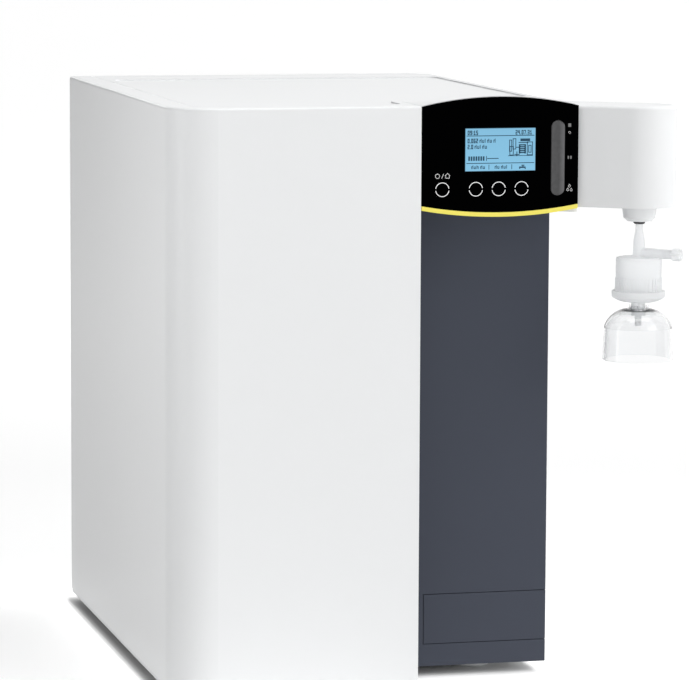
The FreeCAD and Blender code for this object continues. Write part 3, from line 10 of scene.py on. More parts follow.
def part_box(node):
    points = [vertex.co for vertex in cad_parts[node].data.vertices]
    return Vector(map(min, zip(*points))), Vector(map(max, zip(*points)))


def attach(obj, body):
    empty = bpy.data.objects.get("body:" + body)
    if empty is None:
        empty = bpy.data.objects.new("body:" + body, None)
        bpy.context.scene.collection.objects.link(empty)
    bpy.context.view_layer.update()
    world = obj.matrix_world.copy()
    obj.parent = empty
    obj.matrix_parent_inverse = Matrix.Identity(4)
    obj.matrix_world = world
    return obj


bl_info = {
    "name": "Ultrapure water system",
    "version": (1, 0, 0),
    "blender": (4, 5, 0),
    "location": "3D View > Sidebar > Water system",
    "description": "Finishes and fine pieces of a bench ultrapure water system",
    "category": "Object",
}

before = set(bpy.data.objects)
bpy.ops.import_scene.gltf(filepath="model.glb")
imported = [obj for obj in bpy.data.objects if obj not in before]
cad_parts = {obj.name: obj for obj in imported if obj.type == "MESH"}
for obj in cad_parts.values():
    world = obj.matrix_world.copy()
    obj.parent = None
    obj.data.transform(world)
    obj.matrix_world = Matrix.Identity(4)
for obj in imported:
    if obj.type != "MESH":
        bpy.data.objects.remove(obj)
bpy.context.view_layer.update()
glass_low, glass_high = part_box("display_glass")
screen_low, screen_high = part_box("lcd_module")
rocker_low, rocker_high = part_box("dispense_rocker")
tray_low, tray_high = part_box("base_tray")
door_low, door_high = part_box("service_door")
cover_low, cover_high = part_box("lower_cover")
board_low, board_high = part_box("main_board")
control_low, control_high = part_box("control_board")

MM = 0.001

# How fine each surface pattern is, and how deep the two grains are.
TONE_SCALE = 9.0
SHEEN_SCALE = 60.0
LINE_SCALE = 420.0
GRAIN_SCALE = 900.0
FINE_SCALE = 1600.0
FINE_DEPTH = 0.1 * MM
GRAIN_DEPTH = 0.2 * MM

# Plain figures: five rows each, with three squares to a row as one octal digit.
FIGURES = {
    "0": "75557", "1": "26227", "2": "71747", "3": "71717", "4": "55711", "5": "74717", "6": "74757",
    "7": "71122", "9": "75717", ":": "01010", ".": "00001",
}


class Wire:
    """A shader socket that takes part in sums."""

    def __init__(self, nodes, socket):
        self.nodes = nodes
        self.socket = socket

    def sum(self, operation, first, second):
        return self.nodes.node("ShaderNodeMath", {"operation": operation}, {0: first, 1: second})

    def __add__(self, other):
        return self.sum("ADD", self, other)

    def __radd__(self, other):
        return self.sum("ADD", other, self)

    def __sub__(self, other):
        return self.sum("SUBTRACT", self, other)

    def __rsub__(self, other):
        return self.sum("SUBTRACT", other, self)

    def __mul__(self, other):
        return self.sum("MULTIPLY", self, other)

    def __rmul__(self, other):
        return self.sum("MULTIPLY", other, self)

    def __truediv__(self, other):
        return self.sum("DIVIDE", self, other)

    def __rtruediv__(self, other):
        return self.sum("DIVIDE", other, self)

    def __abs__(self):
        return self.sum("ABSOLUTE", self, 0.0)

    def __pow__(self, other):
        return self.sum("POWER", self, other)

    def floor_at(self, low):
        """Never less than the given value."""
        return self.sum("MAXIMUM", self, low)

    def roof_at(self, high):
        """Never more than the given value."""
        return self.sum("MINIMUM", self, high)

    def share(self, low, high):
        """How far the value is from low to high, kept between 0 and 1."""
        return ((self - low) / (high - low)).floor_at(0.0).roof_at(1.0)

    def eased(self):
        """A share that starts and ends softly."""
        return self * self * (3.0 - self * 2.0)


class Nodes:
    """A node tree that is filled from values and links."""

    def __init__(self, tree):
        self.tree = tree
        self.tree.nodes.clear()

    def feed(self, socket, value):
        """Sets a value, or a link, on a socket."""
        if isinstance(value, Wire):
            self.tree.links.new(value.socket, socket)
        else:
            socket.default_value = value

    def node(self, kind, settings, values, output=0):
        """Any node: its type, its settings, and its sockets' values or links."""
        node = self.tree.nodes.new(kind)
        for key, value in settings.items():
            setattr(node, key, value)
        for key, value in values.items():
            self.feed(node.inputs[key], value)
        return Wire(self, node.outputs[output]) if node.outputs else None


class Finish(Nodes):
    """A surface finish: one Principled shader with the nodes that feed it."""

    def __init__(self, name, colour, roughness, fixed=None):
        self.material = bpy.data.materials.new(name)
        self.material.use_nodes = True
        self.material.diffuse_color = (*colour, 1)
        super().__init__(self.material.node_tree)
        self.shader = self.tree.nodes.new("ShaderNodeBsdfPrincipled")
        output = self.tree.nodes.new("ShaderNodeOutputMaterial")
        self.tree.links.new(self.shader.outputs[0], output.inputs[0])
        self.set("Base Color", (*colour, 1))
        self.set("Roughness", roughness)
        for socket, value in (fixed or {}).items():
            self.set(socket, value)

    def set(self, socket, value):
        """Sets a value, or a link, on one of the shader's sockets."""
        self.feed(self.shader.inputs[socket], value)

    def place(self):
        """The piece's own coordinates, in metres."""
        return self.node("ShaderNodeTexCoord", {}, {}, 3)

    def part(self, index):
        """One coordinate of the piece: 0, 1 or 2."""
        return self.node("ShaderNodeSeparateXYZ", {}, {0: self.place()}, index)

    def noise(self, scale, detail=2.0, stretch=(1, 1, 1)):
        """Soft noise over the piece, stretched along an axis where asked."""
        spread = self.node("ShaderNodeMapping", {}, {"Vector": self.place(), "Scale": stretch})
        return self.node("ShaderNodeTexNoise", {}, {"Vector": spread, "Scale": scale, "Detail": detail})

    def blend(self, factor, first, second):
        """A colour between two, each of them a colour or a link."""
        first, second = (end if isinstance(end, Wire) else (*end, 1) for end in (first, second))
        return self.node("ShaderNodeMix", {"data_type": "RGBA"}, {0: factor, 6: first, 7: second}, 2)

    def bump(self, height, strength, distance):
        """Raises the surface by a pattern."""
        self.set("Normal", self.node(
            "ShaderNodeBump", {}, {"Strength": strength, "Distance": distance, "Height": height},
        ))


def shade(colour, amount):
    """A colour made darker or lighter."""
    return tuple(min(1.0, channel * amount) for channel in colour)


def painted(name, colour, roughness, fixed=None):
    """Even, clean surface with only a very fine grain."""
    finish = Finish(name, colour, roughness, fixed)
    finish.bump(finish.noise(FINE_SCALE, 1.0), 0.012, FINE_DEPTH)
    return finish


def moulded(name, colour, roughness, grain=0.02, tone=0.03, fixed=None):
    """Moulded or painted surface with a faint change of tone and a fine grain."""
    finish = Finish(name, colour, roughness, fixed)
    patches = finish.noise(TONE_SCALE)
    swing = 0.06
    finish.set("Base Color", finish.blend(patches, shade(colour, 1 - tone), shade(colour, 1 + tone)))
    finish.set("Roughness", finish.noise(SHEEN_SCALE) * swing + (roughness - swing / 2))
    finish.bump(finish.noise(GRAIN_SCALE, 1.0), grain, GRAIN_DEPTH)
    return finish


def brushed(name, colour, roughness, stretch):
    """Metal with fine lines along one axis."""
    finish = Finish(name, colour, roughness, {"Metallic": 1.0})
    lines = finish.noise(LINE_SCALE, 3.0, stretch)
    swing = 0.2
    finish.set("Base Color", finish.blend(lines, shade(colour, 0.86), shade(colour, 1.08)))
    finish.set("Roughness", lines * swing + (roughness - swing / 2))
    finish.bump(lines, 0.08, GRAIN_DEPTH)
    return finish


def leave_edit():
    """Back to object mode with nothing selected."""
    if bpy.context.object and bpy.context.object.mode != "OBJECT":
        bpy.ops.object.mode_set(mode="OBJECT")
    bpy.ops.object.select_all(action="DESELECT")


def pick(piece):
    """Makes one piece the only selected and active one."""
    leave_edit()
    piece.select_set(True)
    bpy.context.view_layer.objects.active = piece


def settle(piece):
    """Puts the piece's place, turn and size into its mesh."""
    pick(piece)
    bpy.ops.object.transform_apply(location=True, rotation=True, scale=True)
    return piece


def new_piece(name):
    """Names the primitive that was just added."""
    piece = bpy.context.active_object
    piece.name = name
    piece.data.name = name
    return piece


def apply(piece, kind, **settings):
    """Adds one modifier and applies it."""
    pick(piece)
    modifier = piece.modifiers.new(kind.lower(), kind)
    for key, value in settings.items():
        setattr(modifier, key, value)
    bpy.ops.object.modifier_apply(modifier=modifier.name)
    return piece


def soften(piece, width, segments=2, angle=30.0):
    """Rounds the edges that are sharper than the angle."""
    return apply(
        piece, "BEVEL", width=width, segments=segments, limit_method="ANGLE", angle_limit=math.radians(angle),
    )


def smooth(piece, angle=35.0):
    """Smooth shading with the sharp edges kept."""
    pick(piece)
    bpy.ops.object.shade_smooth_by_angle(angle=math.radians(angle))
    return piece


def blocks(name, boxes):
    """Many small blocks in one mesh, each between two corners."""
    leave_edit()
    low, high = (Vector(corner) for corner in boxes[0])
    bpy.ops.mesh.primitive_cube_add(size=1, location=(low + high) / 2)
    piece = new_piece(name)
    piece.scale = high - low
    settle(piece)
    bpy.ops.object.mode_set(mode="EDIT")
    for corners in boxes[1:]:
        low, high = (Vector(corner) for corner in corners)
        bpy.ops.mesh.primitive_cube_add(size=1, location=(low + high) / 2, scale=high - low)
    bpy.ops.object.mode_set(mode="OBJECT")
    return piece


def turned(name, profile, steps, base, axis):
    """Lathe work: a disc drawn out and resized along a profile of radius and height."""
    leave_edit()
    radius, height = profile[0]
    bpy.ops.mesh.primitive_circle_add(
        vertices=steps, radius=radius, fill_type="NOTHING", location=(0, 0, height),
    )
    piece = new_piece(name)
    settle(piece)
    bpy.ops.object.mode_set(mode="EDIT")
    bpy.ops.mesh.select_all(action="SELECT")
    bpy.ops.mesh.edge_face_add()
    bpy.ops.mesh.select_all(action="SELECT")
    for next_radius, next_height in profile[1:]:
        bpy.ops.mesh.extrude_region_move(TRANSFORM_OT_translate={"value": (0, 0, next_height - height)})
        share = next_radius / radius
        bpy.ops.transform.resize(value=(share, share, 1), center_override=(0, 0, next_height))
        radius = next_radius
        height = next_height
    bpy.ops.mesh.select_all(action="SELECT")
    bpy.ops.mesh.remove_doubles(threshold=1e-7)
    bpy.ops.mesh.normals_make_consistent(inside=False)
    bpy.ops.object.mode_set(mode="OBJECT")
    piece.rotation_mode = "QUATERNION"
    piece.rotation_quaternion = Vector((0, 0, 1)).rotation_difference(Vector(axis))
    piece.location = base
    return settle(piece)


def joined(name, pieces):
    """Several meshes made into one piece."""
    leave_edit()
    for piece in pieces:
        piece.select_set(True)
    bpy.context.view_layer.objects.active = pieces[0]
    bpy.ops.object.join()
    return new_piece(name)


def finish_piece(piece, finish, body):
    """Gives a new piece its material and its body."""
    piece.data.materials.clear()
    piece.data.materials.append(finish.material)
    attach(piece, body)
    return piece


def dress(finish, *nodes):
    """Gives solids of the frame their material."""
    for name in nodes:
        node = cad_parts[name]
        node.data.materials.clear()
        node.data.materials.append(finish.material)


class CabinetSettings(bpy.types.PropertyGroup):
    """Colours of the cabinet."""

    white: FloatVectorProperty(
        name="White", description="Covers, head and arm", subtype="COLOR", size=3,
        default=(0.76, 0.768, 0.774),
    )
    slate: FloatVectorProperty(
        name="Slate", description="Column under the head", subtype="COLOR", size=3,
        default=(0.0518, 0.0587, 0.0795),
    )
    yellow: FloatVectorProperty(
        name="Trim", description="Strip under the display", subtype="COLOR", size=3,
        default=(0.83, 0.73, 0.105),
    )
    black: FloatVectorProperty(
        name="Display panel", description="Panel round the screen", subtype="COLOR", size=3,
        default=(0.0005, 0.0005, 0.0006),
    )
    feet: FloatVectorProperty(
        name="Feet", description="Pale rubber feet", subtype="COLOR", size=3, default=(0.76, 0.77, 0.78),
    )


class DisplaySettings(bpy.types.PropertyGroup):
    """Sizes and colours of the display's fine pieces."""

    lit: FloatVectorProperty(
        name="Lit screen", description="Colour of the lit screen", subtype="COLOR", size=3,
        default=(0.23, 0.52, 0.735),
    )
    ink: FloatVectorProperty(
        name="Screen marks", description="Colour of the dark marks", subtype="COLOR", size=3,
        default=(0.012, 0.04, 0.07),
    )
    print_white: FloatVectorProperty(
        name="Print", description="Rings and icons", subtype="COLOR", size=3, default=(0.72, 0.72, 0.72),
    )
    ring_radius: FloatProperty(
        name="Ring radius", description="Outer radius of the ring on a key", unit="LENGTH", default=6.1 * MM,
    )
    ring_width: FloatProperty(
        name="Ring width", description="Width of the ring's line", unit="LENGTH", default=0.6 * MM,
    )
    ring_gap: FloatProperty(
        name="Ring gap", description="Half of the gap at each side", subtype="ANGLE",
        default=math.radians(9.0),
    )
    print_height: FloatProperty(
        name="Print height", description="How far print stands proud", unit="LENGTH", default=0.04 * MM,
    )


class CapsuleSettings(bpy.types.PropertyGroup):
    """Colour of the filter capsule."""

    frosted: FloatVectorProperty(
        name="Frosted plastic", description="Capsule and its port", subtype="COLOR", size=3,
        default=(0.86, 0.87, 0.88),
    )


class MakeCabinet(bpy.types.Operator):
    """Finishes of the cabinet's outside"""

    bl_idname = "water.cabinet"
    bl_label = "Cabinet"

    def execute(self, context):
        colours = context.scene.water_cabinet
        gloss = painted("white_gloss", colours.white, 0.34, {"Specular IOR Level": 0.35})
        satin = painted("white_satin", colours.white, 0.5, {"Specular IOR Level": 0.3})
        slate = painted("slate_paint", colours.slate, 0.55, {"Specular IOR Level": 0.2})
        trim = painted("yellow_trim", colours.yellow, 0.35)
        black = Finish("black_glass", colours.black, 0.12, {"Specular IOR Level": 0.0})
        dress(gloss, "service_door", "top_panel", "head_housing", "arm_shell", "arm_base", "arm_socket")
        dress(satin, "right_panel", "rear_panel", "base_tray")
        dress(slate, "column_panel", "lower_cover")
        dress(trim, "yellow_trim")
        dress(black, "display_glass", "key_home", "key_left", "key_middle", "key_right")
        dress(painted("pale_rubber", colours.feet, 0.7), "feet")
        dress(moulded("seal_rubber", (0.035, 0.036, 0.038), 0.6, 0.1, 0.05), "nozzle_seal")
        steel = brushed("brushed_steel", (0.55, 0.56, 0.57), 0.34, (0.05, 1, 1))
        dress(
            steel, "foot_screws", "rear_screws", "hinge_bracket", "door_hinge_pins", "door_strikes",
            "swivel_spindle", "swivel_ring",
        )
        dark = moulded("dark_plastic", (0.025, 0.025, 0.028), 0.5, 0.1, 0.05)
        dress(dark, "mains_inlet", "mains_switch", "door_magnets", "rocker_bracket")
        brass = brushed("brass", (0.72, 0.5, 0.2), 0.3, (1, 0.1, 1))
        dress(brass, "mains_pins")
        white = moulded("white_plastic", (0.76, 0.78, 0.79), 0.4, 0.03, 0.02)
        dress(white, "swivel_washer", "hose_spigots")
        dress(gloss, "nozzle")
        return {"FINISHED"}


class MakeInside(bpy.types.Operator):
    """Finishes of what is inside the cabinet"""

    bl_idname = "water.inside"
    bl_label = "Inside"

    def execute(self, context):
        sheet = moulded("sheet_steel", (0.5, 0.52, 0.53), 0.38, 0.02, 0.05, {"Metallic": 0.6})
        dress(sheet, "wet_bulkhead", "cross_bulkhead", "cartridge_shelf")
        white = moulded("cartridge_plastic", (0.74, 0.76, 0.78), 0.35, 0.03, 0.02)
        dress(white, "pretreatment_cartridge", "polishing_cartridge", "valve_manifold")
        grey = moulded("grey_plastic", (0.12, 0.125, 0.135), 0.5, 0.08, 0.06)
        dress(grey, "cartridge_heads", "cartridge_clips", "module_clamps", "pump_head")
        dark = moulded("motor_black", (0.03, 0.03, 0.035), 0.45, 0.1, 0.08)
        dress(dark, "pump_motor", "solenoid_valves")
        steel = brushed("lamp_steel", (0.6, 0.61, 0.62), 0.28, (1, 1, 0.04))
        dress(steel, "lamp_housing")
        milky = moulded("milky_plastic", (0.72, 0.75, 0.78), 0.3, 0.02, 0.02, {"Transmission Weight": 0.2})
        dress(milky, "ultrafilter", "inner_hoses", "arm_hose")
        blue = moulded("blue_plastic", (0.05, 0.14, 0.42), 0.4, 0.05, 0.04)
        dress(blue, "conductivity_cells")
        metal = brushed("aluminium", (0.7, 0.71, 0.72), 0.4, (1, 0.06, 1))
        dress(metal, "power_supply")
        board = moulded("board_green", (0.015, 0.13, 0.06), 0.4, 0.1, 0.12)
        dress(board, "main_board", "control_board")
        return {"FINISHED"}


class MakeBoards(bpy.types.Operator):
    """Small parts on the two circuit boards"""

    bl_idname = "water.boards"
    bl_label = "Board parts"
    chip_height = 4.0 * MM
    chip_offset = 40 * MM
    chip_rises = (50 * MM, 100 * MM)
    leg_count = 8
    leg_start = 7.8 * MM
    leg_pitch = 2.1 * MM
    leg_side = 9.8 * MM
    leg_reach = 0.8 * MM
    leg_height = 1.6 * MM
    leg_width = 0.9 * MM
    plug_pins = (6, 4, 8, 4, 6, 3)
    plug_start = 18 * MM
    plug_pitch = 29 * MM
    plug_rise = 3.5 * MM
    plug_tall = 9.5 * MM
    plug_deep = 10 * MM
    plug_back = 2.2 * MM
    plug_wall = 1.2 * MM
    pin_pitch = 2.9 * MM
    pin_half = 0.5 * MM
    pin_rise = 4.8 * MM
    pin_start = 1.0 * MM
    pin_end = 8.2 * MM
    relay_count = 4
    relay_start = 24 * MM
    relay_pitch = 17 * MM
    relay_width = 12 * MM
    relay_deep = 14 * MM
    relay_drop = 12 * MM
    relay_foot_drop = 30 * MM
    relay_round = 0.8 * MM
    small_rows = 5
    small_columns = 9
    small_start = 12 * MM
    small_pitch = 2.9 * MM
    small_rise = 36 * MM
    small_row_pitch = 16 * MM
    small_size = (0.8 * MM, 1.3 * MM, 2.6 * MM)
    # Place along the board, radius and height of each round can, in millimetres.
    cans = ((112, 7.0, 22), (130, 7.0, 22), (148, 5.0, 14), (162, 5.0, 14))
    metal_cans = 2
    can_steps = 40
    can_drop = 22 * MM
    screw_steps = 24
    screw_inset = 10.0 * MM
    # Radius and height of a screw's head, in millimetres.
    screw_profile = ((3.2, 0), (3.2, 0.9), (2.6, 1.7), (1.5, 1.9), (1.5, 0.8))
    control_chip_height = 1.8 * MM
    # Across, up, width and height of each chip on the control board, in millimetres.
    control_chips = (
        (14, 20, 14, 14), (40, 14, 9, 6), (54, 26, 12, 12), (74, 18, 20, 8),
        (30, 40, 26, 5), (66, 44, 8, 8), (86, 48, 10, 14), (12, 52, 6, 9),
    )

    def legs(self, face, middle):
        """Rows of legs at two sides of each chip."""
        boxes = []
        for y in (middle - self.chip_offset, middle + self.chip_offset):
            for rise in self.chip_rises:
                for i in range(self.leg_count):
                    start = y - self.leg_start + i * self.leg_pitch
                    for side in (-1, 1):
                        edge = board_low.z + rise + side * self.leg_side
                        low = (face, start, edge - self.leg_reach)
                        high = (face + self.leg_height, start + self.leg_width, edge + self.leg_reach)
                        boxes.append((low, high))
        return boxes

    def plugs(self, face):
        """Open sockets along the board's foot, and the pins in them."""
        sockets = []
        pins = []
        deep = face + self.plug_deep
        base = board_low.z + self.plug_rise
        top = base + self.plug_tall
        height = base + self.pin_rise
        for i, count in enumerate(self.plug_pins):
            start = board_low.y + self.plug_start + i * self.plug_pitch
            end = start + count * self.pin_pitch
            sockets.append(((face, start, base), (face + self.plug_back, end, top)))
            sockets.append(((face, start, top - self.plug_wall), (deep, end, top)))
            sockets.append(((face, start, base), (deep, end, base + self.plug_wall)))
            for k in range(count):
                place = start + (k + 0.5) * self.pin_pitch
                pins.append((
                    (face + self.pin_start, place - self.pin_half, height - self.pin_half),
                    (face + self.pin_end, place + self.pin_half, height + self.pin_half),
                ))
        return sockets, pins

    def relays(self, face):
        """A row of relays near the board's head."""
        boxes = []
        foot = board_high.z - self.relay_foot_drop
        head = board_high.z - self.relay_drop
        for i in range(self.relay_count):
            start = board_low.y + self.relay_start + i * self.relay_pitch
            boxes.append(((face, start, foot), (face + self.relay_deep, start + self.relay_width, head)))
        return boxes

    def small_parts(self, face, middle):
        """Rows of small parts between the chips."""
        boxes = []
        deep, wide, tall = self.small_size
        for row in range(self.small_rows):
            for i in range(self.small_columns):
                start = middle - self.small_start + i * self.small_pitch
                base = board_low.z + self.small_rise + row * self.small_row_pitch
                boxes.append(((face, start, base), (face + deep, start + wide, base + tall)))
        return boxes

    def can(self, number, y, radius, height, face):
        """A round can with a groove near its foot."""
        base = (face, board_low.y + y * MM, board_high.z - self.can_drop)
        profile = (
            (radius, 0), (radius, 0.9), (radius * 0.92, 1.4), (radius * 0.92, 2.0), (radius, 2.6),
            (radius, height - 0.8), (radius * 0.9, height), (radius * 0.55, height),
            (radius * 0.5, height - 0.3),
        )
        profile = [(r * MM, h * MM) for r, h in profile]
        return turned(f"board_can_{number}", profile, self.can_steps, base, (1, 0, 0))

    def chips(self):
        """Flat chips on the back of the control board."""
        boxes = []
        back = control_high.y
        for x, z, wide, tall in self.control_chips:
            low = (control_low.x + x * MM, back, control_low.z + z * MM)
            boxes.append((low, (low[0] + wide * MM, back + self.control_chip_height, low[2] + tall * MM)))
        return boxes

    def execute(self, context):
        black = moulded("part_black", (0.02, 0.02, 0.022), 0.45, 0.05, 0.1)
        pale = moulded("part_white", (0.62, 0.62, 0.58), 0.45, 0.05, 0.04)
        tin = brushed("part_tin", (0.75, 0.76, 0.77), 0.3, (1, 0.1, 1))
        face = board_high.x - self.chip_height
        middle = (board_low.y + board_high.y) / 2
        sockets, pins = self.plugs(face)
        finish_piece(blocks("chip_legs", self.legs(face, middle)), tin, "cabinet")
        finish_piece(blocks("board_plugs", sockets), pale, "cabinet")
        finish_piece(blocks("board_pins", pins), tin, "cabinet")
        relays = soften(blocks("board_relays", self.relays(face)), self.relay_round)
        finish_piece(relays, black, "cabinet")
        small = blocks("board_small_parts", self.small_parts(face, middle))
        finish_piece(small, pale, "cabinet")
        for i, (y, radius, height) in enumerate(self.cans):
            finish, slot = (tin, "steel") if i < self.metal_cans else (black, "dark_plastic")
            finish_piece(smooth(self.can(i + 1, y, radius, height, face)), finish, "cabinet")
        profile = [(r * MM, h * MM) for r, h in self.screw_profile]
        for y in (board_low.y + self.screw_inset, board_high.y - self.screw_inset):
            for z in (board_low.z + self.screw_inset, board_high.z - self.screw_inset):
                screw = turned("board_screw", profile, self.screw_steps, (face, y, z), (1, 0, 0))
                finish_piece(smooth(screw), tin, "cabinet")
        finish_piece(blocks("control_chips", self.chips()), black, "cabinet")
        return {"FINISHED"}


class MakeScreen(bpy.types.Operator):
    """Lit screen with its dark marks"""

    bl_idname = "water.screen"
    bl_label = "Screen"
    side_margin = 4.6 * MM
    end_margin = 4.4 * MM
    soft_edge = 0.25 * MM
    ink_glow = 0.6
    # All in shares of the lit screen. Left, top and text of the figures:
    figure_shares = (
        (0.03, 0.045, "09:15"), (0.715, 0.045, "24.07.31"), (0.03, 0.235, "0.062"), (0.03, 0.375, "2.0"),
    )
    # Left, top, height and strokes of the words:
    word_shares = (
        (0.2, 0.24, 0.095, (5, 4, 2)), (0.13, 0.38, 0.095, (5, 4)),
        (0.085, 0.865, 0.085, (6, 4)), (0.42, 0.865, 0.085, (4, 5)),
    )
    # Left, top, right and bottom of the marks:
    rule_shares = (
        (0.015, 0.163, 0.985, 0.181), (0.015, 0.808, 0.985, 0.826),
        (0.333, 0.85, 0.342, 0.965), (0.66, 0.85, 0.669, 0.965),
    )
    level_count = 7
    level_shares = (0.042, 0.652, 0.066, 0.757)
    level_pitch_share = 0.0345
    level_end_shares = ((0.296, 0.645, 0.306, 0.765), (0.31, 0.696, 0.475, 0.716))
    vessel_shares = (
        (0.625, 0.27, 0.665, 0.55), (0.675, 0.24, 0.725, 0.5), (0.63, 0.42, 0.69, 0.64),
        (0.88, 0.32, 0.965, 0.64), (0.9, 0.4, 0.945, 0.58),
    )
    head_shares = ((0.785, 0.245, 0.925, 0.31), (0.76, 0.33, 0.9, 0.35))
    rung_count = 5
    rung_shares = (0.765, 0.38, 0.865, 0.41)
    rung_pitch_share = 0.045
    line_shares = (
        (0.765, 0.38, 0.785, 0.6), (0.845, 0.38, 0.865, 0.6), (0.725, 0.44, 0.765, 0.46),
        (0.7, 0.61, 0.775, 0.63), (0.73, 0.55, 0.742, 0.66), (0.61, 0.64, 0.965, 0.655),
    )
    tap_shares = (
        (0.785, 0.905, 0.862, 0.94), (0.803, 0.865, 0.847, 0.885), (0.818, 0.865, 0.832, 0.935),
        (0.77, 0.905, 0.787, 0.96), (0.85, 0.93, 0.865, 0.965),
    )

    def execute(self, context):
        settings = context.scene.water_display
        left = screen_low.x + self.side_margin
        right = screen_high.x - self.side_margin
        bottom = screen_low.z + self.end_margin
        top = screen_high.z - self.end_margin
        lit = Finish("lit_screen", settings.lit, 0.35, {"Specular IOR Level": 0.15})
        x = lit.part(0)
        z = lit.part(2)
        edge = self.soft_edge
        across = x.share(left - edge, left + edge) * x.share(right + edge, right - edge)
        upright = z.share(bottom - edge, bottom + edge) * z.share(top + edge, top - edge)
        tone = lit.blend(z.share(bottom, top), shade(settings.lit, 1.04), shade(settings.lit, 0.97))
        lit.set("Base Color", (0.004, 0.006, 0.008, 1))
        lit.set("Emission Color", lit.blend(across * upright, (0.002, 0.006, 0.01), tone))
        lit.set("Emission Strength", 1.0)
        dress(lit, "lcd_module")
        ink = Finish("screen_ink", settings.ink, 0.5, {"Specular IOR Level": 0.15})
        ink.set("Emission Color", (*settings.ink, 1))
        ink.set("Emission Strength", self.ink_glow)
        front = screen_low.y
        boxes = []

        def mark(u0, v0, u1, v1):
            """A dark patch between two places given in shares of the lit screen."""
            x0 = left + (right - left) * u0
            x1 = left + (right - left) * u1
            z0 = top - (top - bottom) * v1
            z1 = top - (top - bottom) * v0
            boxes.append(((x0, front - settings.print_height, z0), (x1, front, z1)))

        def figures(u, v, text, wide=0.0086, tall=0.0215, fill=1.25):
            """Plain figures built of small squares."""
            for sign in text:
                columns = 3 if sign.isdigit() else 1
                for row, bits in enumerate(FIGURES[sign]):
                    for column in range(columns):
                        if int(bits) >> (columns - 1 - column) & 1:
                            u0 = u + column * wide
                            v0 = v + row * tall
                            mark(u0, v0, u0 + wide * fill, v0 + tall)
                u += (columns + 1) * wide

        def words(u, v, tall, counts, stroke=0.0095, short=0.25, foot=0.8, thick=0.2, space=1.5):
            """Rows of strokes that stand for words."""
            for count in counts:
                for i in range(count):
                    start = v if i % 3 == 1 else v + tall * short
                    mark(u, start, u + stroke, v + tall)
                    if i % 2:
                        bar = v + tall * (short if i % 4 == 1 else foot)
                        mark(u - stroke, bar, u, bar + tall * thick)
                    u += stroke * 2
                u += stroke * space

        def outline(u0, v0, u1, v1, line=0.018, upright_line=0.0108):
            """A rectangle drawn in lines."""
            mark(u0, v0, u1, v0 + line)
            mark(u0, v1 - line, u1, v1)
            mark(u0, v0, u0 + upright_line, v1)
            mark(u1 - upright_line, v0, u1, v1)

        def ladder(shares, count, across_by, down_by):
            """The same mark several times over."""
            u0, v0, u1, v1 = shares
            for i in range(count):
                mark(u0 + i * across_by, v0 + i * down_by, u1 + i * across_by, v1 + i * down_by)

        for shares in self.rule_shares:
            mark(*shares)
        for place in self.figure_shares:
            figures(*place)
        for place in self.word_shares:
            words(*place)
        ladder(self.level_shares, self.level_count, self.level_pitch_share, 0)
        for shares in self.level_end_shares:
            mark(*shares)
        for shares in self.vessel_shares:
            outline(*shares)
        for shares in self.head_shares:
            mark(*shares)
        ladder(self.rung_shares, self.rung_count, 0, self.rung_pitch_share)
        for shares in self.line_shares + self.tap_shares:
            mark(*shares)
        finish_piece(blocks("screen_marks", boxes), ink, "cabinet")
        return {"FINISHED"}


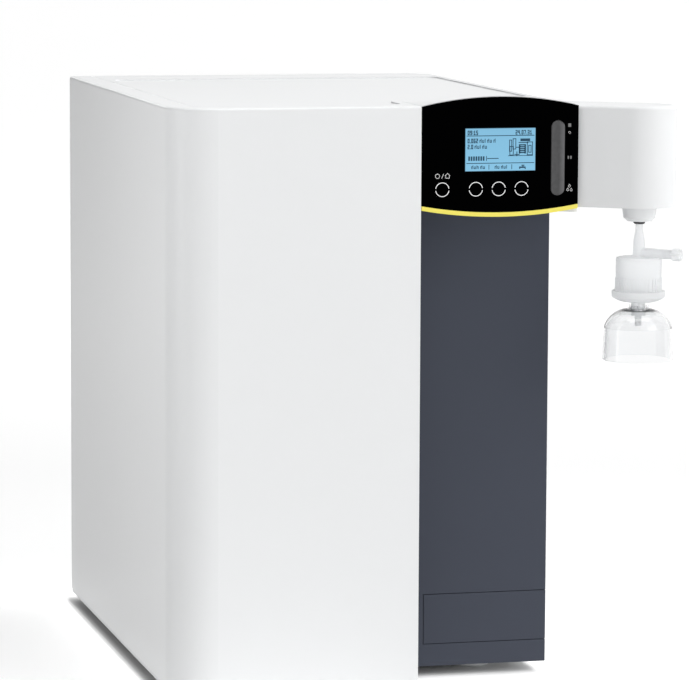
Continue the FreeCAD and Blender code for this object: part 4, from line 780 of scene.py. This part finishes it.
class MakeKeyPrint(bpy.types.Operator):
    """White rings on the keys and the small icons beside them, with a faint painted glow on the white print"""

    bl_idname = "water.print"
    bl_label = "Rings and icons"
    painted_print_glow = 0.25
    dim_share = 0.22
    ring_steps = 120
    icon_rise = 11.4 * MM
    icon_offset = 4.0 * MM
    home_line = 0.3 * MM
    side_line = 0.26 * MM
    # Across, up and radius of closed lines in millimetres, and their number of sides.
    home_loops = ((-4.2, 0, 2.0, 48),)
    drop_loops = (
        (0.1, 21.5, 1.3, 4), (0.3, -24.0, 1.05, 10), (-1.2, -27.2, 1.1, 10), (1.9, -27.3, 1.1, 10),
    )
    # Across, up, width and height of bars in millimetres, and their turn in degrees.
    home_dashes = (
        (-4.2, 1.9, 0.24, 0.9, 0), (0.3, 0, 0.3, 4.4, 22), (4.6, -1.8, 3.4, 0.3, 0),
        (3.0, -0.6, 0.3, 2.4, 0), (6.2, -0.6, 0.3, 2.4, 0),
        (3.55, 1.35, 3.2, 0.3, -45), (5.65, 1.35, 3.2, 0.3, 45),
    )
    flow_dashes = ((0, 27.7, 2.5, 3.0, 0), (-0.9, 0.4, 1.2, 2.6, 0), (1.4, 0.4, 1.2, 2.6, 0))
    drop_dashes = ((0.3, -22.8, 0.3, 0.9, 0), (-1.2, -25.9, 0.3, 0.8, 0), (1.9, -26.0, 0.3, 0.8, 0))

    def ring(self, name, centre, settings):
        """A flat ring with a gap at each side."""
        leave_edit()
        inner = settings.ring_radius - settings.ring_width
        bpy.ops.mesh.primitive_circle_add(
            vertices=self.ring_steps, radius=inner, fill_type="NOTHING", location=(0, 0, 0),
        )
        piece = new_piece(name)
        bpy.ops.object.mode_set(mode="EDIT")
        bpy.ops.mesh.select_all(action="SELECT")
        bpy.ops.mesh.extrude_region_move(TRANSFORM_OT_translate={"value": (0, 0, 0)})
        share = settings.ring_radius / inner
        bpy.ops.transform.resize(value=(share, share, 1), center_override=(0, 0, 0))
        bpy.ops.mesh.select_all(action="DESELECT")
        bpy.ops.object.mode_set(mode="OBJECT")
        for face in piece.data.polygons:
            angle = abs(math.atan2(face.center.y, face.center.x))
            face.select = min(angle, math.pi - angle) < settings.ring_gap
        bpy.ops.object.mode_set(mode="EDIT")
        bpy.ops.mesh.delete(type="FACE")
        bpy.ops.object.mode_set(mode="OBJECT")
        piece.rotation_euler = (math.radians(90), 0, 0)
        piece.location = centre
        settle(piece)
        return apply(piece, "SOLIDIFY", thickness=settings.print_height, offset=0.0)

    def loop(self, place, radius, line, sides, height):
        """A small closed line of print, round or with few sides."""
        leave_edit()
        bpy.ops.mesh.primitive_torus_add(
            major_radius=radius - line / 2, minor_radius=line / 2, major_segments=sides, minor_segments=8,
            location=place, rotation=(math.radians(90), 0, 0),
        )
        piece = new_piece("loop")
        piece.scale = (1, 1, height / line)
        return settle(piece)

    def dash(self, place, wide, tall, turn, height):
        """A flat bar of print, turned where asked."""
        leave_edit()
        bpy.ops.mesh.primitive_cube_add(size=1, location=place)
        piece = new_piece("dash")
        piece.scale = (wide, height, tall)
        piece.rotation_euler = (0, math.radians(turn), 0)
        return settle(piece)

    def icons(self, name, x, z, loops, dashes, line, height):
        """Signs on the display panel, made into one piece."""
        y = glass_low.y - height / 2
        pieces = []
        for across, up, radius, sides in loops:
            pieces.append(self.loop((x + across * MM, y, z + up * MM), radius * MM, line, sides, height))
        for across, up, wide, tall, turn in dashes:
            pieces.append(self.dash((x + across * MM, y, z + up * MM), wide * MM, tall * MM, turn, height))
        return joined(name, pieces)

    def execute(self, context):
        settings = context.scene.water_display
        white = Finish("white_print", settings.print_white, 0.5)
        # Painted light: the white print glows faintly though it is no lamp.
        white.set("Emission Color", (*settings.print_white, 1))
        white.set("Emission Strength", self.painted_print_glow)
        dim = Finish("grey_print", shade(settings.print_white, self.dim_share), 0.5)
        height = settings.print_height
        for key in ("key_home", "key_left", "key_middle", "key_right"):
            low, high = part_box(key)
            centre = Vector(((low.x + high.x) / 2, low.y - height / 2, (low.z + high.z) / 2))
            finish_piece(self.ring(key + "_ring", centre, settings), white, key + "_body")
        low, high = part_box("key_home")
        x = (low.x + high.x) / 2
        z = (low.z + high.z) / 2 + self.icon_rise
        icons = self.icons("home_icons", x, z, self.home_loops, self.home_dashes, self.home_line, height)
        finish_piece(icons, white, "cabinet")
        x = rocker_high.x + self.icon_offset
        z = (rocker_low.z + rocker_high.z) / 2
        icons = self.icons("flow_icons", x, z, (), self.flow_dashes, self.side_line, height)
        finish_piece(icons, dim, "cabinet")
        icons = self.icons("drop_icons", x, z, self.drop_loops, self.drop_dashes, self.side_line, height)
        finish_piece(icons, white, "cabinet")
        return {"FINISHED"}


class MakeRocker(bpy.types.Operator):
    """Mottled grey grip of the dispensing rocker, slightly crowned, with a painted highlight towards its right
    side and painted shade along both side edges
    """

    bl_idname = "water.rocker"
    bl_label = "Rocker"
    crown_height = 0.7 * MM
    grain_height = 0.05 * MM
    mottle_scale = 300.0
    mottle_share = 0.35

    def execute(self, context):
        grip = Finish("rocker_grip", (0.06, 0.06, 0.062), 0.3)
        mottle = grip.noise(self.mottle_scale, 4.0)
        middle = (rocker_low.x + rocker_high.x) / 2
        half = (rocker_high.x - rocker_low.x) / 2
        across = (grip.part(0) - middle) / half
        # Random mottle mixed with a painted highlight: the grey gets lighter towards the right side.
        tone = mottle * self.mottle_share + across.share(0.2, 0.85) * (1.0 - self.mottle_share)
        grey = grip.blend(tone, (0.022, 0.022, 0.023), (0.125, 0.125, 0.13))
        # Painted shade: near black along both side edges of the grip.
        painted_edge_shade = abs(across).share(0.9, 0.97)
        grip.set("Base Color", grip.blend(painted_edge_shade, grey, (0.006, 0.006, 0.006)))
        crown = across ** 2.0 * (-self.crown_height)
        grip.bump(crown + mottle * self.grain_height, 1.0, 1.0)
        dress(grip, "dispense_rocker")
        return {"FINISHED"}


class MakeCapsule(bpy.types.Operator):
    """Frosted capsule, its vent knob and the clear bell, with a faint painted glow on the frosted plastic"""

    bl_idname = "water.capsule"
    bl_label = "Capsule and bell"
    grain_scale = 700.0
    # Strength of the frosted plastic's painted glow.
    glow = 0.085
    scatter = (12 * MM, 12 * MM, 12 * MM)

    def execute(self, context):
        settings = context.scene.water_capsule
        frosted = Finish(
            "frosted_plastic", settings.frosted, 0.45,
            {
                "Subsurface Weight": 0.8, "Subsurface Radius": self.scatter, "Subsurface Scale": 1.0,
                "Transmission Weight": 0.6, "Specular IOR Level": 0.3,
            },
        )
        frosted.bump(frosted.noise(self.grain_scale, 1.0), 0.04, GRAIN_DEPTH)
        # Painted light: the frosted plastic glows faintly though it is no lamp, brightening its shaded side.
        frosted.set("Emission Color", (*settings.frosted, 1))
        frosted.set("Emission Strength", self.glow)
        dress(frosted, "filter_top", "filter_bottom", "vent_knob")
        clear = Finish("clear_plastic", (0.93, 0.935, 0.94), 0.02, {"Transmission Weight": 1.0, "IOR": 1.47})
        dress(clear, "bell_guard")
        return {"FINISHED"}


class MakeStage(bpy.types.Operator):
    """Pale floor with a painted contact shadow, soft lights, pale surroundings and the camera"""

    bl_idname = "water.stage"
    bl_label = "Stage"
    floor_size = 40.0
    # Floor colour inside the painted contact shadow, and out in the open.
    painted_shadow_grey = 0.65
    open_grey = 0.9
    side_inset = 2 * MM
    front_inset = 18 * MM
    side_reach = 11.5 * MM
    front_reach = 34 * MM
    corner_inset = 12 * MM
    near_power = 1.4
    boost_reach = 120 * MM
    edge_reach = 1.83
    edge_glow = 0.55
    glow_span = (-0.1, 0.15)
    far_start = 0.8
    far_reach = 2.0
    full_glow = 2.0
    left_glow = 0.092
    right_glow = 0.121
    left_boost = 0.28
    far_glow = 0.336
    bright_world = 1.15
    bright_span = (-0.3, 0.5)
    front_world = 0.496
    front_span = (-0.2, -0.9)
    # Name, place, point that it faces, width, height of an upright one, and power.
    lamps = (
        ("key_light", (1.9, -2.3, 1.5), (0.05, 0, 0.3), 1.6, None, 11.846),
        ("strip_light", (-0.56, -0.24, 0.5), (-0.2, -0.24, 0.36), 0.16, 0.8, 0.68),
        ("top_light", (0.1, 0.0, 2.6), (0, 0, 0.4), 2.2, None, 33.731),
        ("rim_light", (-0.5, 3.3, 1.3), (-0.1, 0, 0.5), 0.8, None, 5.0),
    )
    azimuth = math.radians(13.818)
    pitch = math.radians(6.987)
    roll = math.radians(0.245)
    aim = (0.032931, 0.0, 0.277589)
    distance = 3.577086
    lens = 206.17

    def light(self, name, place, target, size, tall, power):
        """A soft light, square or upright, that faces a point."""
        bpy.ops.object.light_add(type="AREA", location=place)
        lamp = bpy.context.active_object
        lamp.name = name
        lamp.data.size = size
        if tall:
            lamp.data.shape = "RECTANGLE"
            lamp.data.size_y = tall
        lamp.data.energy = power
        lamp.rotation_mode = "QUATERNION"
        lamp.rotation_quaternion = (Vector(target) - Vector(place)).to_track_quat("-Z", "Y")

    def camera(self):
        """A long lens at the photograph's angle."""
        forward = Vector((
            math.sin(self.azimuth) * math.cos(self.pitch), math.cos(self.azimuth) * math.cos(self.pitch),
            -math.sin(self.pitch),
        ))
        level = Vector((math.cos(self.azimuth), -math.sin(self.azimuth), 0))
        upright = level.cross(forward)
        right = level * math.cos(self.roll) + upright * math.sin(self.roll)
        up = upright * math.cos(self.roll) - level * math.sin(self.roll)
        place = Vector(self.aim) - forward * self.distance
        bpy.ops.object.camera_add(location=place)
        camera = bpy.context.active_object
        camera.name = "photo_camera"
        turn = Matrix((right, up, -forward)).transposed().to_4x4()
        camera.matrix_world = Matrix.Translation(place) @ turn
        camera.data.sensor_fit = "HORIZONTAL"
        camera.data.sensor_width = 36.0
        camera.data.lens = self.lens
        camera.data.clip_end = 100.0
        bpy.context.scene.camera = camera

    def floor(self):
        """A wide pale floor that glows softly, with a painted contact shadow: darker in colour and in glow
        right beside the cabinet.
        """
        leave_edit()
        bpy.ops.mesh.primitive_plane_add(size=self.floor_size, location=(0, 0, 0))
        floor = new_piece("floor")
        settle(floor)
        pale = Finish("pale_floor", (self.open_grey,) * 3, 0.6, {"Specular IOR Level": 0.1})
        x = pale.part(0)
        y = pale.part(1)
        back = (y - tray_high.y).floor_at(0.0)

        def off(low_x, high_x, front, side_reach, front_reach):
            """Distance from a rectangle, in shares of the two reaches."""
            beside = (low_x - x).floor_at(0.0) + (x - high_x).floor_at(0.0)
            ahead = (front - y).floor_at(0.0) + back
            return ((beside / side_reach) ** 2.0 + (ahead / front_reach) ** 2.0) ** 0.5

        def clear_of_both(side_reach, front_reach):
            """Distance from the door's and the column's footprint, whichever is nearer."""
            left = door_low.x + self.side_inset
            right = tray_high.x - self.corner_inset
            door_front = door_low.y + self.front_inset
            column_front = cover_low.y + self.front_inset
            under_door = off(left, door_high.x, door_front, side_reach, front_reach)
            under_column = off(door_high.x, right, column_front, side_reach, front_reach)
            return under_door.sum("MINIMUM", under_door, under_column)

        away = clear_of_both(self.side_reach, self.front_reach)
        # Painted contact shadow: the glow fades to nothing right beside the cabinet, within the reaches.
        near = away.roof_at(1.0).eased() ** self.near_power
        distance = clear_of_both(1.0, 1.0)
        # Painted glow that lifts the floor's real shade: stronger close to the cabinet on the left, and a
        # bright rim just outside the painted shadow.
        close = 1.0 / ((distance / self.boost_reach) ** 2.0 + 1.0)
        edge = 1.0 / ((away / self.edge_reach) ** 2.0 + 1.0)
        to_right = x.share(*self.glow_span)
        even = to_right * (self.right_glow - self.left_glow) + self.left_glow
        boost = (1.0 - to_right) * self.left_boost
        far = distance.share(self.far_start, self.far_start + self.far_reach)
        glow = near * (even + boost * close + edge * self.edge_glow) + far * self.far_glow
        pale.set("Emission Color", pale.blend(glow / self.full_glow, (0, 0, 0), (1, 1, 1)))
        pale.set("Emission Strength", self.full_glow)
        # Painted contact shadow: darker floor colour right beside the cabinet.
        pale.set("Base Color", pale.blend(near, (self.painted_shadow_grey,) * 3, (self.open_grey,) * 3))
        floor.data.materials.append(pale.material)

    def surroundings(self):
        """Pale in front and to the right."""
        world = bpy.data.worlds.new("pale_surroundings")
        bpy.context.scene.world = world
        world.use_nodes = True
        sky = Nodes(world.node_tree)
        direction = sky.node("ShaderNodeTexCoord", {}, {}, 0)
        x = sky.node("ShaderNodeSeparateXYZ", {}, {0: direction}, 0)
        y = sky.node("ShaderNodeSeparateXYZ", {}, {0: direction}, 1)
        right = x.share(*self.bright_span) * self.bright_world
        front = y.share(*self.front_span) * self.front_world
        glow = sky.node("ShaderNodeBackground", {}, {"Color": (1, 1, 1, 1), "Strength": right + front})
        sky.node("ShaderNodeOutputWorld", {}, {"Surface": glow})

    def execute(self, context):
        self.floor()
        self.surroundings()
        for lamp in self.lamps:
            self.light(*lamp)
        self.camera()
        context.scene.view_settings.view_transform = "Standard"
        return {"FINISHED"}


class WaterPanel(bpy.types.Panel):
    """Lists the pieces of the water system"""

    bl_idname = "VIEW3D_PT_water_system"
    bl_label = "Water system"
    bl_space_type = "VIEW_3D"
    bl_region_type = "UI"
    bl_category = "Water system"

    def draw(self, context):
        for group in (context.scene.water_cabinet, context.scene.water_display, context.scene.water_capsule):
            box = self.layout.box()
            for name in group.bl_rna.properties.keys():
                if name not in ("rna_type", "name"):
                    box.prop(group, name)
        for operator in OPERATORS:
            self.layout.operator(operator.bl_idname)


GROUPS = {
    "water_cabinet": CabinetSettings,
    "water_display": DisplaySettings,
    "water_capsule": CapsuleSettings,
}
OPERATORS = (
    MakeCabinet, MakeInside, MakeBoards, MakeScreen, MakeKeyPrint, MakeRocker, MakeCapsule, MakeStage,
)


def register():
    for name, group in GROUPS.items():
        bpy.utils.register_class(group)
        setattr(bpy.types.Scene, name, PointerProperty(type=group))
    for operator in OPERATORS:
        bpy.utils.register_class(operator)
    bpy.utils.register_class(WaterPanel)


def unregister():
    bpy.utils.unregister_class(WaterPanel)
    for operator in reversed(OPERATORS):
        bpy.utils.unregister_class(operator)
    for name, group in reversed(GROUPS.items()):
        delattr(bpy.types.Scene, name)
        bpy.utils.unregister_class(group)


def main():
    register()
    bpy.ops.water.cabinet()
    bpy.ops.water.inside()
    bpy.ops.water.boards()
    bpy.ops.water.screen()
    bpy.ops.water.print()
    bpy.ops.water.rocker()
    bpy.ops.water.capsule()
    bpy.ops.water.stage()


if __name__ == "__main__":
    main()
